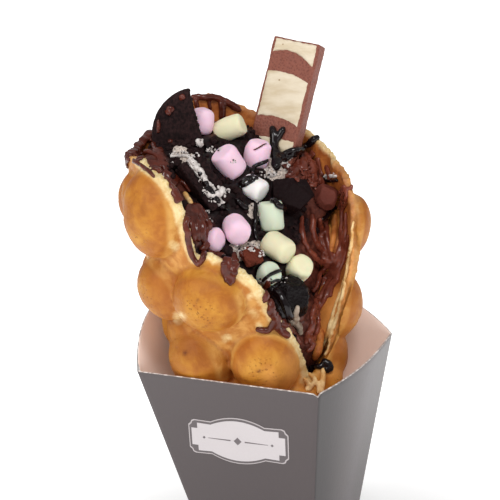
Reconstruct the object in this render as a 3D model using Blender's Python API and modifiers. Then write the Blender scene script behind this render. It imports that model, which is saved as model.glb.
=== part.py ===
# Rolled egg waffle with its fillings, standing in a tapered card holder.
# Units are metres, +Z is up, and the holder's base is centred on the origin.

import math
import random

import bmesh
import bpy
import numpy as np
from mathutils import Matrix, Vector
from mathutils.bvhtree import BVHTree

mm = 0.001

# Card holder
cartonHeight = 130 * mm      # base to the straight front rim
rimWidth = 95 * mm           # front panel at the rim
rimDepth = 82.6 * mm         # side panel at the rim
apexDrop = 248 * mm          # the leaning walls would meet this far below the rim
cardThickness = 0.9 * mm
backRise = 30 * mm           # the rear corner stands this much above the front rim
leftRiseLength = 15 * mm     # how soon the left panel's edge climbs
backRiseLength = 40 * mm     # how soon the back panel's edge climbs
sideDip = 1.5 * mm           # the right panel's edge sags
sideBulge = 3.2 * mm         # and the panel is pushed outward
panelSteps = 8               # columns of faces in each panel
panelRows = 5

# Waffle sheet, rolled into a cone; heights are measured from the front rim
sheetThickness = 3.6 * mm
coneBottom = -94 * mm
conePoint = -108 * mm        # where the straight cone would end
coneSlope = 0.31             # radius gained for each unit of height
coneRadius = 53.5 * mm       # the roll grows no wider than this
coneSoftness = 2.8 * mm
coneShift = (-4.5 * mm, 1.0 * mm)
squeezeDepth = 0.84          # the roll is narrower front to back inside the holder
squeezeFade = 45 * mm
wallGap = 0.35 * mm
wallSoftness = 0.9 * mm
wallRelease = 1.6            # above a panel's edge its hold fades this fast
sheetColumns = 54
sheetRows = 8

# The sheet's free edge: angle round the roll in degrees, and height above the front rim
sheetEdge = [
    (-8, -11 * mm), (4, -3 * mm), (13, 8 * mm), (19, 25 * mm), (22, 45 * mm),
    (24, 66 * mm), (30, 80 * mm), (45, 84 * mm), (63, 86 * mm), (72, 90 * mm),
    (86, 99 * mm), (113, 108 * mm), (137, 119 * mm), (150, 117 * mm),
    (170, 106 * mm), (206, 101 * mm), (240, 103 * mm), (251, 99 * mm),
    (260, 95 * mm), (267, 84 * mm), (269, 72 * mm), (271, 61 * mm),
    (279, 63 * mm), (292, 56 * mm), (301, 49 * mm), (306, 41 * mm),
    (311, 31 * mm), (321, 19 * mm), (330, 8 * mm), (340, -4 * mm), (352, -11 * mm),
]

# Bubbles: angle, height above the front rim, half width, half height, bulge
bubbles = [
    (250.2, 79, 13.8, 20.5, 12), (229, 82, 13, 14, 6), (237, 42, 15, 16, 11.5),
    (273, 41, 17.2, 16, 13), (245.5, 7, 15.5, 17, 12.5), (299.3, 5.5, 15.8, 19, 12.5),
    (36, 57, 14.5, 15.5, 7), (30, 20, 16.3, 17, 11.5), (22, -3, 14, 15, 10),
    (9, -12, 13, 14, 10), (236, 12, 13, 17, 9),
    (192, 76, 15, 15, 11), (163, 86, 16, 16, 12), (126, 84, 16, 16, 12),
    (86, 72, 16, 16, 11), (100, 44, 16, 16, 12), (62, 38, 15, 15, 11),
    (143, 54, 16, 16, 12), (174, 50, 16, 16, 12), (201, 40, 13, 14, 7),
    (120, 23, 15, 15, 11), (162, 20, 15, 15, 11), (208, 14, 14, 16, 8.5),
    (60, 12, 15, 15, 10), (280, -18, 14, 15, 13), (322, -24, 14, 15, 12),
    (238, -18, 13, 14, 12), (195, -18, 13, 14, 12), (145, -15, 14, 14, 13),
    (92, -10, 14, 14, 13), (50, -16, 14, 14, 12),
    (20, -48, 12, 13, 10), (85, -48, 12, 13, 10), (150, -48, 12, 13, 10),
    (215, -48, 12, 13, 10), (280, -48, 12, 13, 10),
    (50, -74, 9, 10, 9), (170, -74, 9, 10, 9), (290, -74, 9, 10, 9),
]
bubbleInside = {(62, 38): 9 * mm, (60, 12): 9 * mm}
bubbleFlat = 1.6 * mm        # how far a bubble reaches inward elsewhere
bubbleDetail = (12, 7)       # segments and rings of a bubble
hiddenDetail = (8, 5)        # and of those below the rim
hiddenBelow = -15            # millimetres

# Face frame: the opening looks this way, and its toppings are placed in it
faceAzimuth = math.radians(30.3)
faceElevation = math.radians(15.3)
faceRoll = math.radians(-4.8)
faceOrigin = Vector((-10 * mm, 9.2 * mm, 177.7 * mm))

pieceGap = 0.35 * mm
heapMargin = 1.2 * mm        # the heap stays clear of the sheet, whose facets cut corners


def smooth(t):
    t = np.clip(t, 0, 1)
    return t * t * (3 - 2 * t)


def faceAxes():
    back = Vector((
        math.sin(faceAzimuth) * math.cos(faceElevation),
        -math.cos(faceAzimuth) * math.cos(faceElevation),
        math.sin(faceElevation)))
    level = Vector((math.cos(faceAzimuth), math.sin(faceAzimuth), 0))
    rise = back.cross(level)
    across = level * math.cos(faceRoll) + rise * math.sin(faceRoll)
    up = rise * math.cos(faceRoll) - level * math.sin(faceRoll)
    return across, up, back


acrossAxis, upAxis, outAxis = faceAxes()


def facePoint(across, up, out):
    # millimetres across and up the opening's face, and out of it
    return faceOrigin + (acrossAxis * across + upAxis * up + outAxis * out) * mm


def faceVector(across, up, out):
    return (acrossAxis * across + upAxis * up + outAxis * out).normalized()


def axisMatrix(centre, axis):
    # a placing whose local Z runs along the axis
    quaternion = axis.to_track_quat("Z", "Y")
    return Matrix.Translation(centre) @ quaternion.to_matrix().to_4x4()


def makeMaterial(name, colour, roughness, metallic=0.0):
    material = bpy.data.materials.new(name)
    material.use_nodes = True
    shader = material.node_tree.nodes["Principled BSDF"]
    shader.inputs["Base Color"].default_value = (*colour, 1)
    shader.inputs["Roughness"].default_value = roughness
    shader.inputs["Metallic"].default_value = metallic
    return material


def makeObject(name, bm, material=None, smoothShade=True):
    mesh = bpy.data.meshes.new(name)
    bm.to_mesh(mesh)
    bm.free()
    obj = bpy.data.objects.new(name, mesh)
    bpy.context.scene.collection.objects.link(obj)
    if material:
        mesh.materials.append(material)
    for polygon in mesh.polygons:
        polygon.use_smooth = smoothShade
    return obj


def applyModifiers(obj):
    graph = bpy.context.evaluated_depsgraph_get()
    mesh = bpy.data.meshes.new_from_object(obj.evaluated_get(graph))
    obj.modifiers.clear()
    obj.data = mesh


def booleanWith(obj, operation, others):
    # one Boolean with a whole collection of cutters, which is removed afterwards
    group = bpy.data.collections.new("cutters")
    bpy.context.scene.collection.children.link(group)
    for other in others:
        bpy.context.scene.collection.objects.unlink(other)
        group.objects.link(other)
    modifier = obj.modifiers.new("join", "BOOLEAN")
    modifier.operation = operation
    modifier.operand_type = "COLLECTION"
    modifier.collection = group
    modifier.solver = "EXACT"
    applyModifiers(obj)
    for other in list(group.objects):
        bpy.data.objects.remove(other)
    bpy.data.collections.remove(group)


def dropScraps(obj):
    # keeps the largest closed piece
    bm = bmesh.new()
    bm.from_mesh(obj.data)
    seen = set()
    shells = []
    for vert in bm.verts:
        if vert in seen:
            continue
        stack = [vert]
        shell = []
        seen.add(vert)
        while stack:
            current = stack.pop()
            shell.append(current)
            for edge in current.link_edges:
                other = edge.other_vert(current)
                if other not in seen:
                    seen.add(other)
                    stack.append(other)
        shells.append(shell)
    shells.sort(key=len)
    for shell in shells[:-1]:
        bmesh.ops.delete(bm, geom=shell, context="VERTS")
    bm.to_mesh(obj.data)
    bm.free()
    return len(shells) - 1


# Card holder

def cartonHalf(z):
    share = 1 - (cartonHeight - z) / apexDrop
    return rimWidth / 2 * share, rimDepth / 2 * share


def cartonTop(side, along):
    # side 0 left, 1 front, 2 right, 3 back, each from its start corner
    if side == 0:
        distance = (1 - along) * rimDepth
        return backRise * (1 - math.exp(-distance / leftRiseLength))
    if side == 1:
        return 0
    if side == 2:
        return -sideDip * 4 * along * (1 - along)
    full = 1 - math.exp(-rimWidth / backRiseLength)
    return backRise * (1 - math.exp(-along * rimWidth / backRiseLength)) / full


def buildCarton(material):
    corners = [(-1, 1), (-1, -1), (1, -1), (1, 1), (-1, 1)]
    bm = bmesh.new()
    bmesh.ops.create_grid(bm, x_segments=4 * panelSteps, y_segments=panelRows, size=0.5)
    for vert in bm.verts:
        s = round((vert.co.x + 0.5) * 4 * panelSteps) / panelSteps
        t = vert.co.y + 0.5
        side = min(int(s), 3)
        along = s - side
        z = t * (cartonHeight + cartonTop(side, along))
        halfWidth, halfDepth = cartonHalf(z)
        start = corners[side]
        end = corners[side + 1]
        x = (start[0] + (end[0] - start[0]) * along) * halfWidth
        y = (start[1] + (end[1] - start[1]) * along) * halfDepth
        if side == 2:
            x += sideBulge * math.sin(math.pi * along) * t ** 1.5
        vert.co = (x, y, z)
    bmesh.ops.remove_doubles(bm, verts=bm.verts, dist=0.01 * mm)
    bottom = [e for e in bm.edges if e.is_boundary and max(v.co.z for v in e.verts) < mm]
    bmesh.ops.contextual_create(bm, geom=bottom)
    bmesh.ops.recalc_face_normals(bm, faces=bm.faces)
    obj = makeObject("carton", bm, material, smoothShade=False)
    solid = obj.modifiers.new("card", "SOLIDIFY")
    solid.thickness = cardThickness
    solid.offset = -1
    solid.use_even_offset = True
    applyModifiers(obj)
    return obj


# Waffle

def rollRadius(height):
    straight = coneSlope * (height - conePoint)
    soft = coneSoftness
    return -soft * np.log(np.exp(-straight / soft) + np.exp(-coneRadius / soft))


def rollPoint(angle, height, offset=0.0):
    # a point of the rolled sheet's outer face, moved outward by offset
    share = smooth((height - conePoint) / (30 * mm - conePoint))
    flat = squeezeDepth + (1 - squeezeDepth) * smooth(height / squeezeFade)
    radius = rollRadius(height)
    x = coneShift[0] * share + (radius + offset) * np.cos(angle)
    y = coneShift[1] * share + (radius * flat + offset) * np.sin(angle)
    return Vector((float(x), float(y), float(height + cartonHeight)))


def rollFrame(angle, height):
    step = 0.5 * mm
    turn = 0.01
    around = (rollPoint(angle + turn, height) - rollPoint(angle - turn, height)).normalized()
    along = (rollPoint(angle, height + step) - rollPoint(angle, height - step)).normalized()
    outward = around.cross(along).normalized()
    along = outward.cross(around)
    return around, along, outward


def edgeColumns(columns):
    # columns spread evenly along the sheet's edge
    angles = np.radians([a for a, h in sheetEdge])
    heights = np.array([h for a, h in sheetEdge])
    angles = np.append(angles, angles[0] + 2 * math.pi)
    heights = np.append(heights, heights[0])
    steps = np.hypot(np.diff(angles) * coneRadius, np.diff(heights))
    length = np.append(0, np.cumsum(steps))
    even = np.linspace(0, length[-1], columns + 1)
    return np.interp(even, length, angles), np.interp(even, length, heights)


def fitInHolder(point):
    # presses a point inside the leaning card walls, softly, as the waffle is
    inner = cardThickness + wallGap
    z = point.z
    height = z - cartonHeight
    halfWidth, halfDepth = cartonHalf(z)
    free = max(height, 0) * wallRelease
    rear = max(height - backRise, 0) * wallRelease

    def press(value, limit):
        room = limit - inner - value
        soft = wallSoftness
        if room > 30 * soft:
            return value
        return limit - inner - soft * math.log1p(math.exp(room / soft))

    x = press(point.x, halfWidth + free)
    x = -press(-x, halfWidth + rear)
    y = press(point.y, halfDepth + rear)
    y = -press(-y, halfDepth + free)
    return Vector((x, y, z))


def sheetGrid(offset, top=None, rows=sheetRows, bottom=coneBottom, columns=sheetColumns):
    angles, heights = edgeColumns(columns)
    bm = bmesh.new()
    bmesh.ops.create_grid(bm, x_segments=columns, y_segments=rows, size=0.5)
    for vert in bm.verts:
        column = round((vert.co.x + 0.5) * columns)
        t = vert.co.y + 0.5
        edge = heights[column] if top is None else top
        height = bottom + (edge - bottom) * t
        vert.co = rollPoint(angles[column], height, offset)
    bmesh.ops.remove_doubles(bm, verts=bm.verts, dist=0.01 * mm)
    low = cartonHeight + bottom + 0.1 * mm
    ring = [e for e in bm.edges if e.is_boundary and max(v.co.z for v in e.verts) < low]
    bmesh.ops.contextual_create(bm, geom=ring)
    return bm


def bubbleMesh(entry, grow=0.0):
    degrees, height, halfWidth, halfHeight, bulge = entry
    angle = math.radians(degrees)
    height = height * mm
    around, along, outward = rollFrame(angle, height)
    centre = rollPoint(angle, height, -sheetThickness / 2)
    inside = bubbleInside.get(entry[:2], bubbleFlat) + grow
    rise = bulge * mm + sheetThickness / 2 + grow
    segments, rings = hiddenDetail if entry[1] < hiddenBelow else bubbleDetail
    bm = bmesh.new()
    bmesh.ops.create_uvsphere(
        bm, u_segments=segments, v_segments=rings, radius=1)
    for vert in bm.verts:
        local = vert.co
        depth = local.z * (rise if local.z > 0 else inside)
        vert.co = (
            centre + around * local.x * (halfWidth * mm + grow)
            + along * local.y * (halfHeight * mm + grow) + outward * depth)
    return bm


# Chocolate spread that ran over the edges: routes on the face and the rope's radius, in mm
edgeRuns = [
    ([(-27.5, 15), (-26.5, 5), (-25.5, -1), (-24, -5.5), (-22.3, -7), (-20.4, -4.5)], 2.0),
    ([(-33, 24), (-30, 22.5), (-28.5, 19)], 2.6),
    ([(-9.4, -4), (-9.4, -9), (-8.9, -13.6)], 2.8),
    ([(8.8, -26.5), (7.4, -31), (4.8, -34.6), (0.9, -36.2)], 1.6),
    ([(11, -27.4), (12.5, -32), (14.8, -35.4), (17.7, -36.7)], 1.6),
]
wallRuns = [
    ([(47.2, 27), (45, 19), (43.2, 11), (41, 2), (38.8, -7), (36.5, -14), (34, -22),
      (31.5, -31), (29.5, -38)], 2.3),
    ([(41.2, 16.4), (40, 10), (38.8, 4.7), (37.5, -1), (35.5, -7)], 1.7),
    ([(-54.5, 42.5), (-52.4, 46.6), (-48, 51), (-43, 53.6)], 1.7),
]
edgeReach = 12 * mm
wallReach = 90 * mm
ropeStand = 0.3              # a rope's middle stands this share of its radius off the waffle
ropeView = 120               # millimetres in front of the face, where routes are seen from


def spreadPoints(route, radius, surface, reach):
    # drapes a route over the surface, seen from the opening's face,
    # and leaves out what falls past the edge onto a farther wall
    hits = []
    for across, up in route:
        hit, normal, index, distance = surface.ray_cast(facePoint(across, up, ropeView), -outAxis)
        if hit:
            hits.append((distance, hit + normal * radius * ropeStand * mm))
    nearest = min(distance for distance, point in hits)
    return [point for distance, point in hits if distance < nearest + reach]


def spreadRope(points, radius):
    curve = bpy.data.curves.new("rope", "CURVE")
    curve.dimensions = "3D"
    curve.bevel_depth = radius
    curve.bevel_resolution = 1
    curve.use_fill_caps = True
    spline = curve.splines.new("POLY")
    spline.points.add(len(points) - 1)
    for target, point in zip(spline.points, points):
        target.co = (*point, 1)
    rope = bpy.data.objects.new("rope", curve)
    bpy.context.scene.collection.objects.link(rope)
    graph = bpy.context.evaluated_depsgraph_get()
    bm = bmesh.new()
    bm.from_mesh(rope.evaluated_get(graph).to_mesh())
    bpy.data.objects.remove(rope)
    bmesh.ops.remove_doubles(bm, verts=bm.verts, dist=0.01 * mm)
    bmesh.ops.recalc_face_normals(bm, faces=bm.faces)
    return makeObject("rope", bm)


def ropeRoom(points, radius):
    # straight six-sided pieces round a rope, for cutting room beside it
    rooms = []
    wide = (radius + 2.4 * pieceGap) / math.cos(math.radians(30))
    for start, end in zip(points, points[1:]):
        bm = bmesh.new()
        bmesh.ops.create_cone(bm, cap_ends=True, segments=6, radius1=wide, radius2=wide,
                              depth=(end - start).length + 1.6 * wide)
        bm.transform(axisMatrix((start + end) / 2, (end - start).normalized()))
        rooms.append(makeObject("room", bm))
    return rooms


def buildWaffle(material):
    bm = sheetGrid(0)
    bmesh.ops.recalc_face_normals(bm, faces=bm.faces)
    obj = makeObject("waffle", bm, material)
    solid = obj.modifiers.new("sheet", "SOLIDIFY")
    solid.thickness = sheetThickness
    solid.offset = -1
    applyModifiers(obj)
    domes = [makeObject("bubble", bubbleMesh(entry)) for entry in bubbles]
    booleanWith(obj, "UNION", domes)
    for vert in obj.data.vertices:
        vert.co = fitInHolder(vert.co)
    surface = BVHTree.FromObject(obj, bpy.context.evaluated_depsgraph_get())
    routes = [(spreadPoints(route, radius, surface, edgeReach), radius * mm)
              for route, radius in edgeRuns]
    routes += [(spreadPoints(route, radius, surface, wallReach), radius * mm)
               for route, radius in wallRuns]
    booleanWith(obj, "UNION", [spreadRope(points, radius) for points, radius in routes])
    print("scraps dropped from the waffle", dropScraps(obj))
    return obj, routes


# Filling: one heap, cut round everything that is pushed into it
heapDepth = 33               # millimetres, as are the next values
heapLean = (0.6, 0.5, 0.004)
heapSpan = (-48, 44, -58, 66)
heapCell = 4.9
heapRight = (27, 12)         # right limit low down, and how much wider it is above
heapTop = 57
heapFall = 2.2               # slope beyond the limits
heapCrest = 0.55             # the crest drops towards the left
heapSwells = [               # across, up, half width, half height, swell
    (-24, 11, 9, 12, 8),     # spread piled at the left edge
    (10, 42, 16, 12, 5),     # the mix below the bar
]
heapBack = -75
heapRough = 1.3
roomTop = 121 * mm
roomBottom = -80 * mm
roomColumns = 27
roomRows = 7


def heapFace(across, up):
    out = heapDepth - heapLean[0] * across - heapLean[1] * up - heapLean[2] * up * up
    limit = heapRight[0] + heapRight[1] * float(smooth((up - 8) / 14))
    crest = heapTop - heapCrest * max(-20 - across, 0)
    out -= heapFall * (max(across - limit, 0) + max(up - crest, 0))
    for middle, level, wide, tall, swell in heapSwells:
        out += swell * math.exp(-((across - middle) / wide) ** 2 - ((up - level) / tall) ** 2)
    return out


def pieceCopy(obj, grow):
    # a slightly larger copy, for cutting room in the heap
    bm = bmesh.new()
    bm.from_mesh(obj.data)
    bm.transform(obj.matrix_world)
    centre = sum((v.co for v in bm.verts), Vector()) / len(bm.verts)
    reach = max((v.co - centre).length for v in bm.verts)
    bm.normal_update()
    moves = [v.normal * v.calc_shell_factor() * grow for v in bm.verts]
    for vert, move in zip(bm.verts, moves):
        vert.co += move if move.length < reach / 4 else move.normalized() * grow
    return makeObject("room", bm)


def buildFilling(material, pieces, routes):
    left, right, low, high = heapSpan
    columns = round((right - left) / heapCell)
    rows = round((high - low) / heapCell)
    dice = random.Random(7)
    bm = bmesh.new()
    bmesh.ops.create_grid(bm, x_segments=columns, y_segments=rows, size=0.5)
    for vert in bm.verts:
        across = left + (vert.co.x + 0.5) * (right - left)
        up = low + (vert.co.y + 0.5) * (high - low)
        out = heapFace(across, up) + dice.uniform(-heapRough, heapRough)
        vert.co = facePoint(across, up, out)
    front = list(bm.faces)
    grown = bmesh.ops.extrude_face_region(bm, geom=front)["geom"]
    for item in grown:
        if isinstance(item, bmesh.types.BMVert):
            depth = (item.co - faceOrigin).dot(outAxis)
            item.co -= outAxis * (depth - heapBack * mm)
    bmesh.ops.recalc_face_normals(bm, faces=bm.faces)
    heap = makeObject("filling", bm, material, smoothShade=False)

    room = sheetGrid(-sheetThickness - heapMargin, roomTop, roomRows, roomBottom, roomColumns)
    cap = [e for e in room.edges if e.is_boundary]
    bmesh.ops.contextual_create(room, geom=cap)
    for vert in room.verts:
        vert.co = fitInHolder(vert.co)
    bmesh.ops.recalc_face_normals(room, faces=room.faces)
    booleanWith(heap, "INTERSECT", [makeObject("room", room)])
    inner = []
    for entry in bubbles:
        if entry[:2] in bubbleInside:
            dome = bubbleMesh(entry, wallGap)
            for vert in dome.verts:
                vert.co = fitInHolder(vert.co)
            inner.append(makeObject("room", dome))
    cuts = inner + [pieceCopy(piece, pieceGap) for piece in pieces]
    for points, radius in routes:
        cuts += ropeRoom(points, radius)
    booleanWith(heap, "DIFFERENCE", cuts)
    print("scraps dropped from the heap", dropScraps(heap))
    return heap


# Marshmallows: across, up, out of the face, the long axis, width, length
marshmallows = {
    "marshmallow_01": ((-22.9, 61.5, 2.4), (0.1, 1, 0.2), 12, 13),
    "marshmallow_02": ((-8.8, 59.4, -0.5), (1, 0.35, 0.3), 12, 14.5),
    "marshmallow_03": ((-9.8, 41, 16), (-0.55, 0.75, 0.5), 13, 13.5),
    "marshmallow_04": ((3.6, 45.2, 5.0), (0.3, 1, 0.5), 12.5, 17),
    "marshmallow_05": ((-5.8, 9.3, 36.5), (0.35, -0.5, 1), 13, 13),
    "marshmallow_06": ((-17, 4.3, 41), (1, 0.1, 0.6), 11.5, 9.5),
    "marshmallow_07": ((2, 29, 17.5), (0.9, -0.5, 0.5), 11.5, 11.5),
    "marshmallow_08": ((9.8, 15.7, 22.3), (-0.1, 1, 0.2), 11.5, 13.5),
    "marshmallow_09": ((12.8, 1.3, 29), (0.8, -0.5, 0.6), 13, 14),
    "marshmallow_10": ((23.4, -9.2, 26.8), (0.4, 0.4, 1), 13, 12),
    "marshmallow_11": ((8.4, -11.2, 37), (0.5, 0.6, 0.9), 11, 9),
}
marshmallowColours = {
    "pink": (0.83, 0.6, 0.69), "yellow": (0.78, 0.75, 0.5),
    "mint": (0.66, 0.72, 0.55), "white": (0.84, 0.8, 0.76),
}
marshmallowKinds = ["pink", "yellow", "pink", "pink", "pink", "pink", "white", "mint",
                    "yellow", "yellow", "mint"]


def buildMarshmallow(name, material):
    place, axis, width, length = marshmallows[name]
    bm = bmesh.new()
    bmesh.ops.create_cone(bm, cap_ends=True, segments=12, depth=length * mm,
                          radius1=width / 2 * mm, radius2=width / 2 * mm)
    rims = [e for e in bm.edges if abs(e.verts[0].co.z - e.verts[1].co.z) < 0.1 * mm]
    bmesh.ops.bevel(bm, geom=rims, offset=2 * mm, segments=1, affect="EDGES")
    obj = makeObject(name, bm, material)
    obj.matrix_world = axisMatrix(facePoint(*place), faceVector(*axis))
    return obj


# Striped chocolate bar, from its hidden lower end to its top
barFoot = (6.0, 33, -8)
barHead = (22.6, 101.5, -3)
barWidth = 25 * mm
barThickness = 9 * mm
barTurn = math.radians(24)
barCoat = 1.0 * mm
barSide = 1.4 * mm
barBands = [(0.05, 0.30), (0.465, 0.735), (0.905, 0.985)]   # cream, as shares of the length


def barFrame():
    foot = facePoint(*barFoot)
    head = facePoint(*barHead)
    along = (head - foot).normalized()
    face = faceVector(-math.sin(barTurn), 0, math.cos(barTurn))
    side = along.cross(face).normalized()
    face = side.cross(along)
    matrix = Matrix((side, along, face)).transposed().to_4x4()
    matrix.translation = foot
    return matrix, (head - foot).length


def boxMesh(size, centre, name, material=None, bevel=0.0):
    bm = bmesh.new()
    bmesh.ops.create_cube(bm, size=1)
    for vert in bm.verts:
        vert.co = Vector((vert.co.x * size[0] + centre[0], vert.co.y * size[1] + centre[1],
                          vert.co.z * size[2] + centre[2]))
    if bevel:
        bmesh.ops.bevel(bm, geom=list(bm.edges), offset=bevel, segments=1, affect="EDGES")
    return makeObject(name, bm, material, smoothShade=False)


def buildBar(chocolate, cream):
    matrix, length = barFrame()
    body = boxMesh((barWidth, length, barThickness), (0, length / 2, -barThickness / 2),
                   "bar_chocolate", chocolate, 0.8 * mm)
    pockets = []
    blocks = []
    for index, (low, high) in enumerate(barBands):
        size = (barWidth - 2 * barSide, (high - low) * length, barThickness - barCoat)
        centre = (0, (low + high) / 2 * length, -size[2] / 2)
        wide = (size[0] + 2 * pieceGap, size[1] + 2 * pieceGap, size[2] + 2 * pieceGap + mm)
        pockets.append(boxMesh(wide, (0, centre[1], centre[2] + mm / 2), "pocket"))
        block = boxMesh(size, centre, f"bar_cream_{index + 1:02d}", cream, 0.5 * mm)
        block.matrix_world = matrix
        blocks.append(block)
    booleanWith(body, "DIFFERENCE", pockets)
    body.matrix_world = matrix
    envelope = boxMesh((barWidth, length, barThickness), (0, length / 2, -barThickness / 2),
                       "envelope")
    envelope.matrix_world = matrix
    return body, blocks, envelope


# Cookies
cookieRadius = 22.6 * mm
cookieWafer = 4.2 * mm
cookieCream = 3.4 * mm
cookieGap = 0.3 * mm
standingCentre = (-23.7, 54, 12)
standingAxis = (-0.15, -0.1, 1)
slabCentre = (-22, 30, 33)
slabAxis = (-0.74, -0.52, 0.42)


def discPiece(name, radius, thickness, lift, cuts, matrix, material, segments=22):
    # a disc broken along straight lines: each cut is an angle and a distance from the centre
    bm = bmesh.new()
    bmesh.ops.create_cone(bm, cap_ends=True, segments=segments, depth=thickness,
                          radius1=radius, radius2=radius)
    bmesh.ops.translate(bm, verts=bm.verts, vec=(0, 0, lift))
    for degrees, distance in cuts:
        angle = math.radians(degrees)
        normal = Vector((math.cos(angle), math.sin(angle), 0))
        geometry = list(bm.verts) + list(bm.edges) + list(bm.faces)
        cut = bmesh.ops.bisect_plane(bm, geom=geometry, plane_co=normal * distance,
                                     plane_no=normal, clear_outer=True)
        ring = [e for e in cut["geom_cut"] if isinstance(e, bmesh.types.BMEdge)]
        bmesh.ops.contextual_create(bm, geom=ring)
    bmesh.ops.recalc_face_normals(bm, faces=bm.faces)
    obj = makeObject(name, bm, material, smoothShade=False)
    obj.matrix_world = matrix
    return obj


def frameMatrix(centre, axis, upward):
    # local Z along the axis, local Y as near upward as it can be
    side = upward.cross(axis).normalized()
    rise = axis.cross(side)
    matrix = Matrix((side, rise, axis)).transposed().to_4x4()
    matrix.translation = centre
    return matrix


def buildCookies(wafer, cream):
    standing = frameMatrix(facePoint(*standingCentre), faceVector(*standingAxis), upAxis)
    pieces = [discPiece("cookie_standing", cookieRadius, cookieWafer + mm, 0,
                        [(14, 0.7 * mm), (-65, 12 * mm)], standing, wafer)]
    slab = frameMatrix(facePoint(*slabCentre), faceVector(*slabAxis), outAxis)
    cuts = [(90, 2.5 * mm), (4, 13 * mm), (184, 13 * mm)]
    lift = (cookieWafer + cookieCream) / 2 + cookieGap
    pieces.append(discPiece("cookie_wafer_front", cookieRadius, cookieWafer, lift,
                            cuts, slab, wafer))
    pieces.append(discPiece("cookie_cream", cookieRadius - 1.5 * mm, cookieCream, 0,
                            cuts, slab, cream))
    pieces.append(discPiece("cookie_wafer_back", cookieRadius, cookieWafer, -lift,
                            cuts, slab, wafer))
    return pieces


# Broken chunks: across, up, out, three sizes in mm, turns in degrees, number of broken faces
chunks = {
    "chunk_dark": ((19.3, 25.8, 15), (19, 17, 13), (8, -12, -12), 11),
    "chunk_glossy": ((17.8, -21.4, 34), (16.5, 18.5, 14), (10, 5, 25), 12),
    "chunk_brownie": ((0.8, -3.2, 38), (9.5, 8.5, 8), (15, 20, 5), 9),
    "chunk_milk": ((36.6, 25.4, 0), (10.5, 11.5, 9.5), (0, -25, 10), 8),
}
chunkReach = (0.36, 0.44)    # how far out the broken faces lie, as shares of the size
chunkSpread = 2.4            # radians from one broken face to the next round the chunk
chunkFill = 1.15             # makes up for what the faces take away


def buildChunk(name, material, seed):
    place, size, turns, count = chunks[name]
    dice = random.Random(seed)
    bm = bmesh.new()
    bmesh.ops.create_icosphere(bm, subdivisions=2, radius=0.5)
    planes = []
    for index in range(count):
        turn = index * chunkSpread
        height = 1 - 2 * (index + 0.5) / count
        flat = math.sqrt(1 - height * height)
        normal = Vector((flat * math.cos(turn), flat * math.sin(turn), height))
        planes.append((normal, dice.uniform(*chunkReach)))
    for vert in bm.verts:
        for normal, reach in planes:
            over = vert.co.dot(normal) - reach
            if over > 0:
                vert.co -= normal * over
    for vert in bm.verts:
        vert.co = Vector([value * wide for value, wide in zip(vert.co, size)]) * mm * chunkFill
    obj = makeObject(name, bm, material, smoothShade=False)
    base = Matrix((acrossAxis, upAxis, outAxis)).transposed().to_4x4()
    for axis, degrees in zip("XYZ", turns):
        base = base @ Matrix.Rotation(math.radians(degrees), 4, axis)
    base.translation = facePoint(*place)
    obj.matrix_world = base
    return obj


def main():
    for obj in list(bpy.data.objects):
        bpy.data.objects.remove(obj)
    card = makeMaterial("card", (0.15, 0.13, 0.13), 0.55)
    crust = makeMaterial("waffle_crust", (0.62, 0.27, 0.06), 0.5)
    heap = makeMaterial("filling_mix", (0.03, 0.018, 0.015), 0.35)
    biscuit = makeMaterial("cookie_wafer", (0.016, 0.012, 0.013), 0.6)
    whip = makeMaterial("cookie_cream", (0.7, 0.66, 0.6), 0.6)
    brown = makeMaterial("bar_chocolate", (0.25, 0.075, 0.045), 0.5)
    pale = makeMaterial("bar_cream", (0.75, 0.64, 0.47), 0.55)
    dark = makeMaterial("dark_chunk", (0.016, 0.012, 0.013), 0.5)
    syrup = makeMaterial("syrup_chunk", (0.008, 0.006, 0.007), 0.12)
    cake = makeMaterial("brownie", (0.12, 0.04, 0.025), 0.8)
    milk = makeMaterial("milk_chocolate", (0.17, 0.06, 0.045), 0.4)
    sweets = {kind: makeMaterial("marshmallow_" + kind, colour, 0.75)
              for kind, colour in marshmallowColours.items()}

    buildCarton(card)
    print("carton built")
    waffle, routes = buildWaffle(crust)
    print("waffle built", len(waffle.data.polygons))
    pieces = [buildMarshmallow(name, sweets[kind])
              for name, kind in zip(marshmallows, marshmallowKinds)]
    pieces += buildCookies(biscuit, whip)
    pieces += [buildChunk("chunk_dark", dark, 3), buildChunk("chunk_glossy", syrup, 5),
               buildChunk("chunk_brownie", cake, 8), buildChunk("chunk_milk", milk, 11)]
    body, blocks, envelope = buildBar(brown, pale)
    print("pieces built")
    buildFilling(heap, pieces + [envelope], routes)
    bpy.data.objects.remove(envelope)
    group = bpy.data.collections.new("egg_waffle")
    bpy.context.scene.collection.children.link(group)
    total = 0
    for obj in list(bpy.context.scene.collection.objects):
        bpy.context.scene.collection.objects.unlink(obj)
        group.objects.link(obj)
        total += sum(len(polygon.vertices) - 2 for polygon in obj.data.polygons)
    print("nodes", len(group.objects), "triangles", total)


main()
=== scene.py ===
# Egg waffle rolled round its filling and standing in a card holder.
# Metres, +Z up; the holder's base is centred on the origin, as in the frame.
import math
import random

import bmesh
import bpy
import numpy as np
from mathutils import Matrix, Vector, noise
from mathutils.bvhtree import BVHTree
from mathutils.kdtree import KDTree


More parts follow.
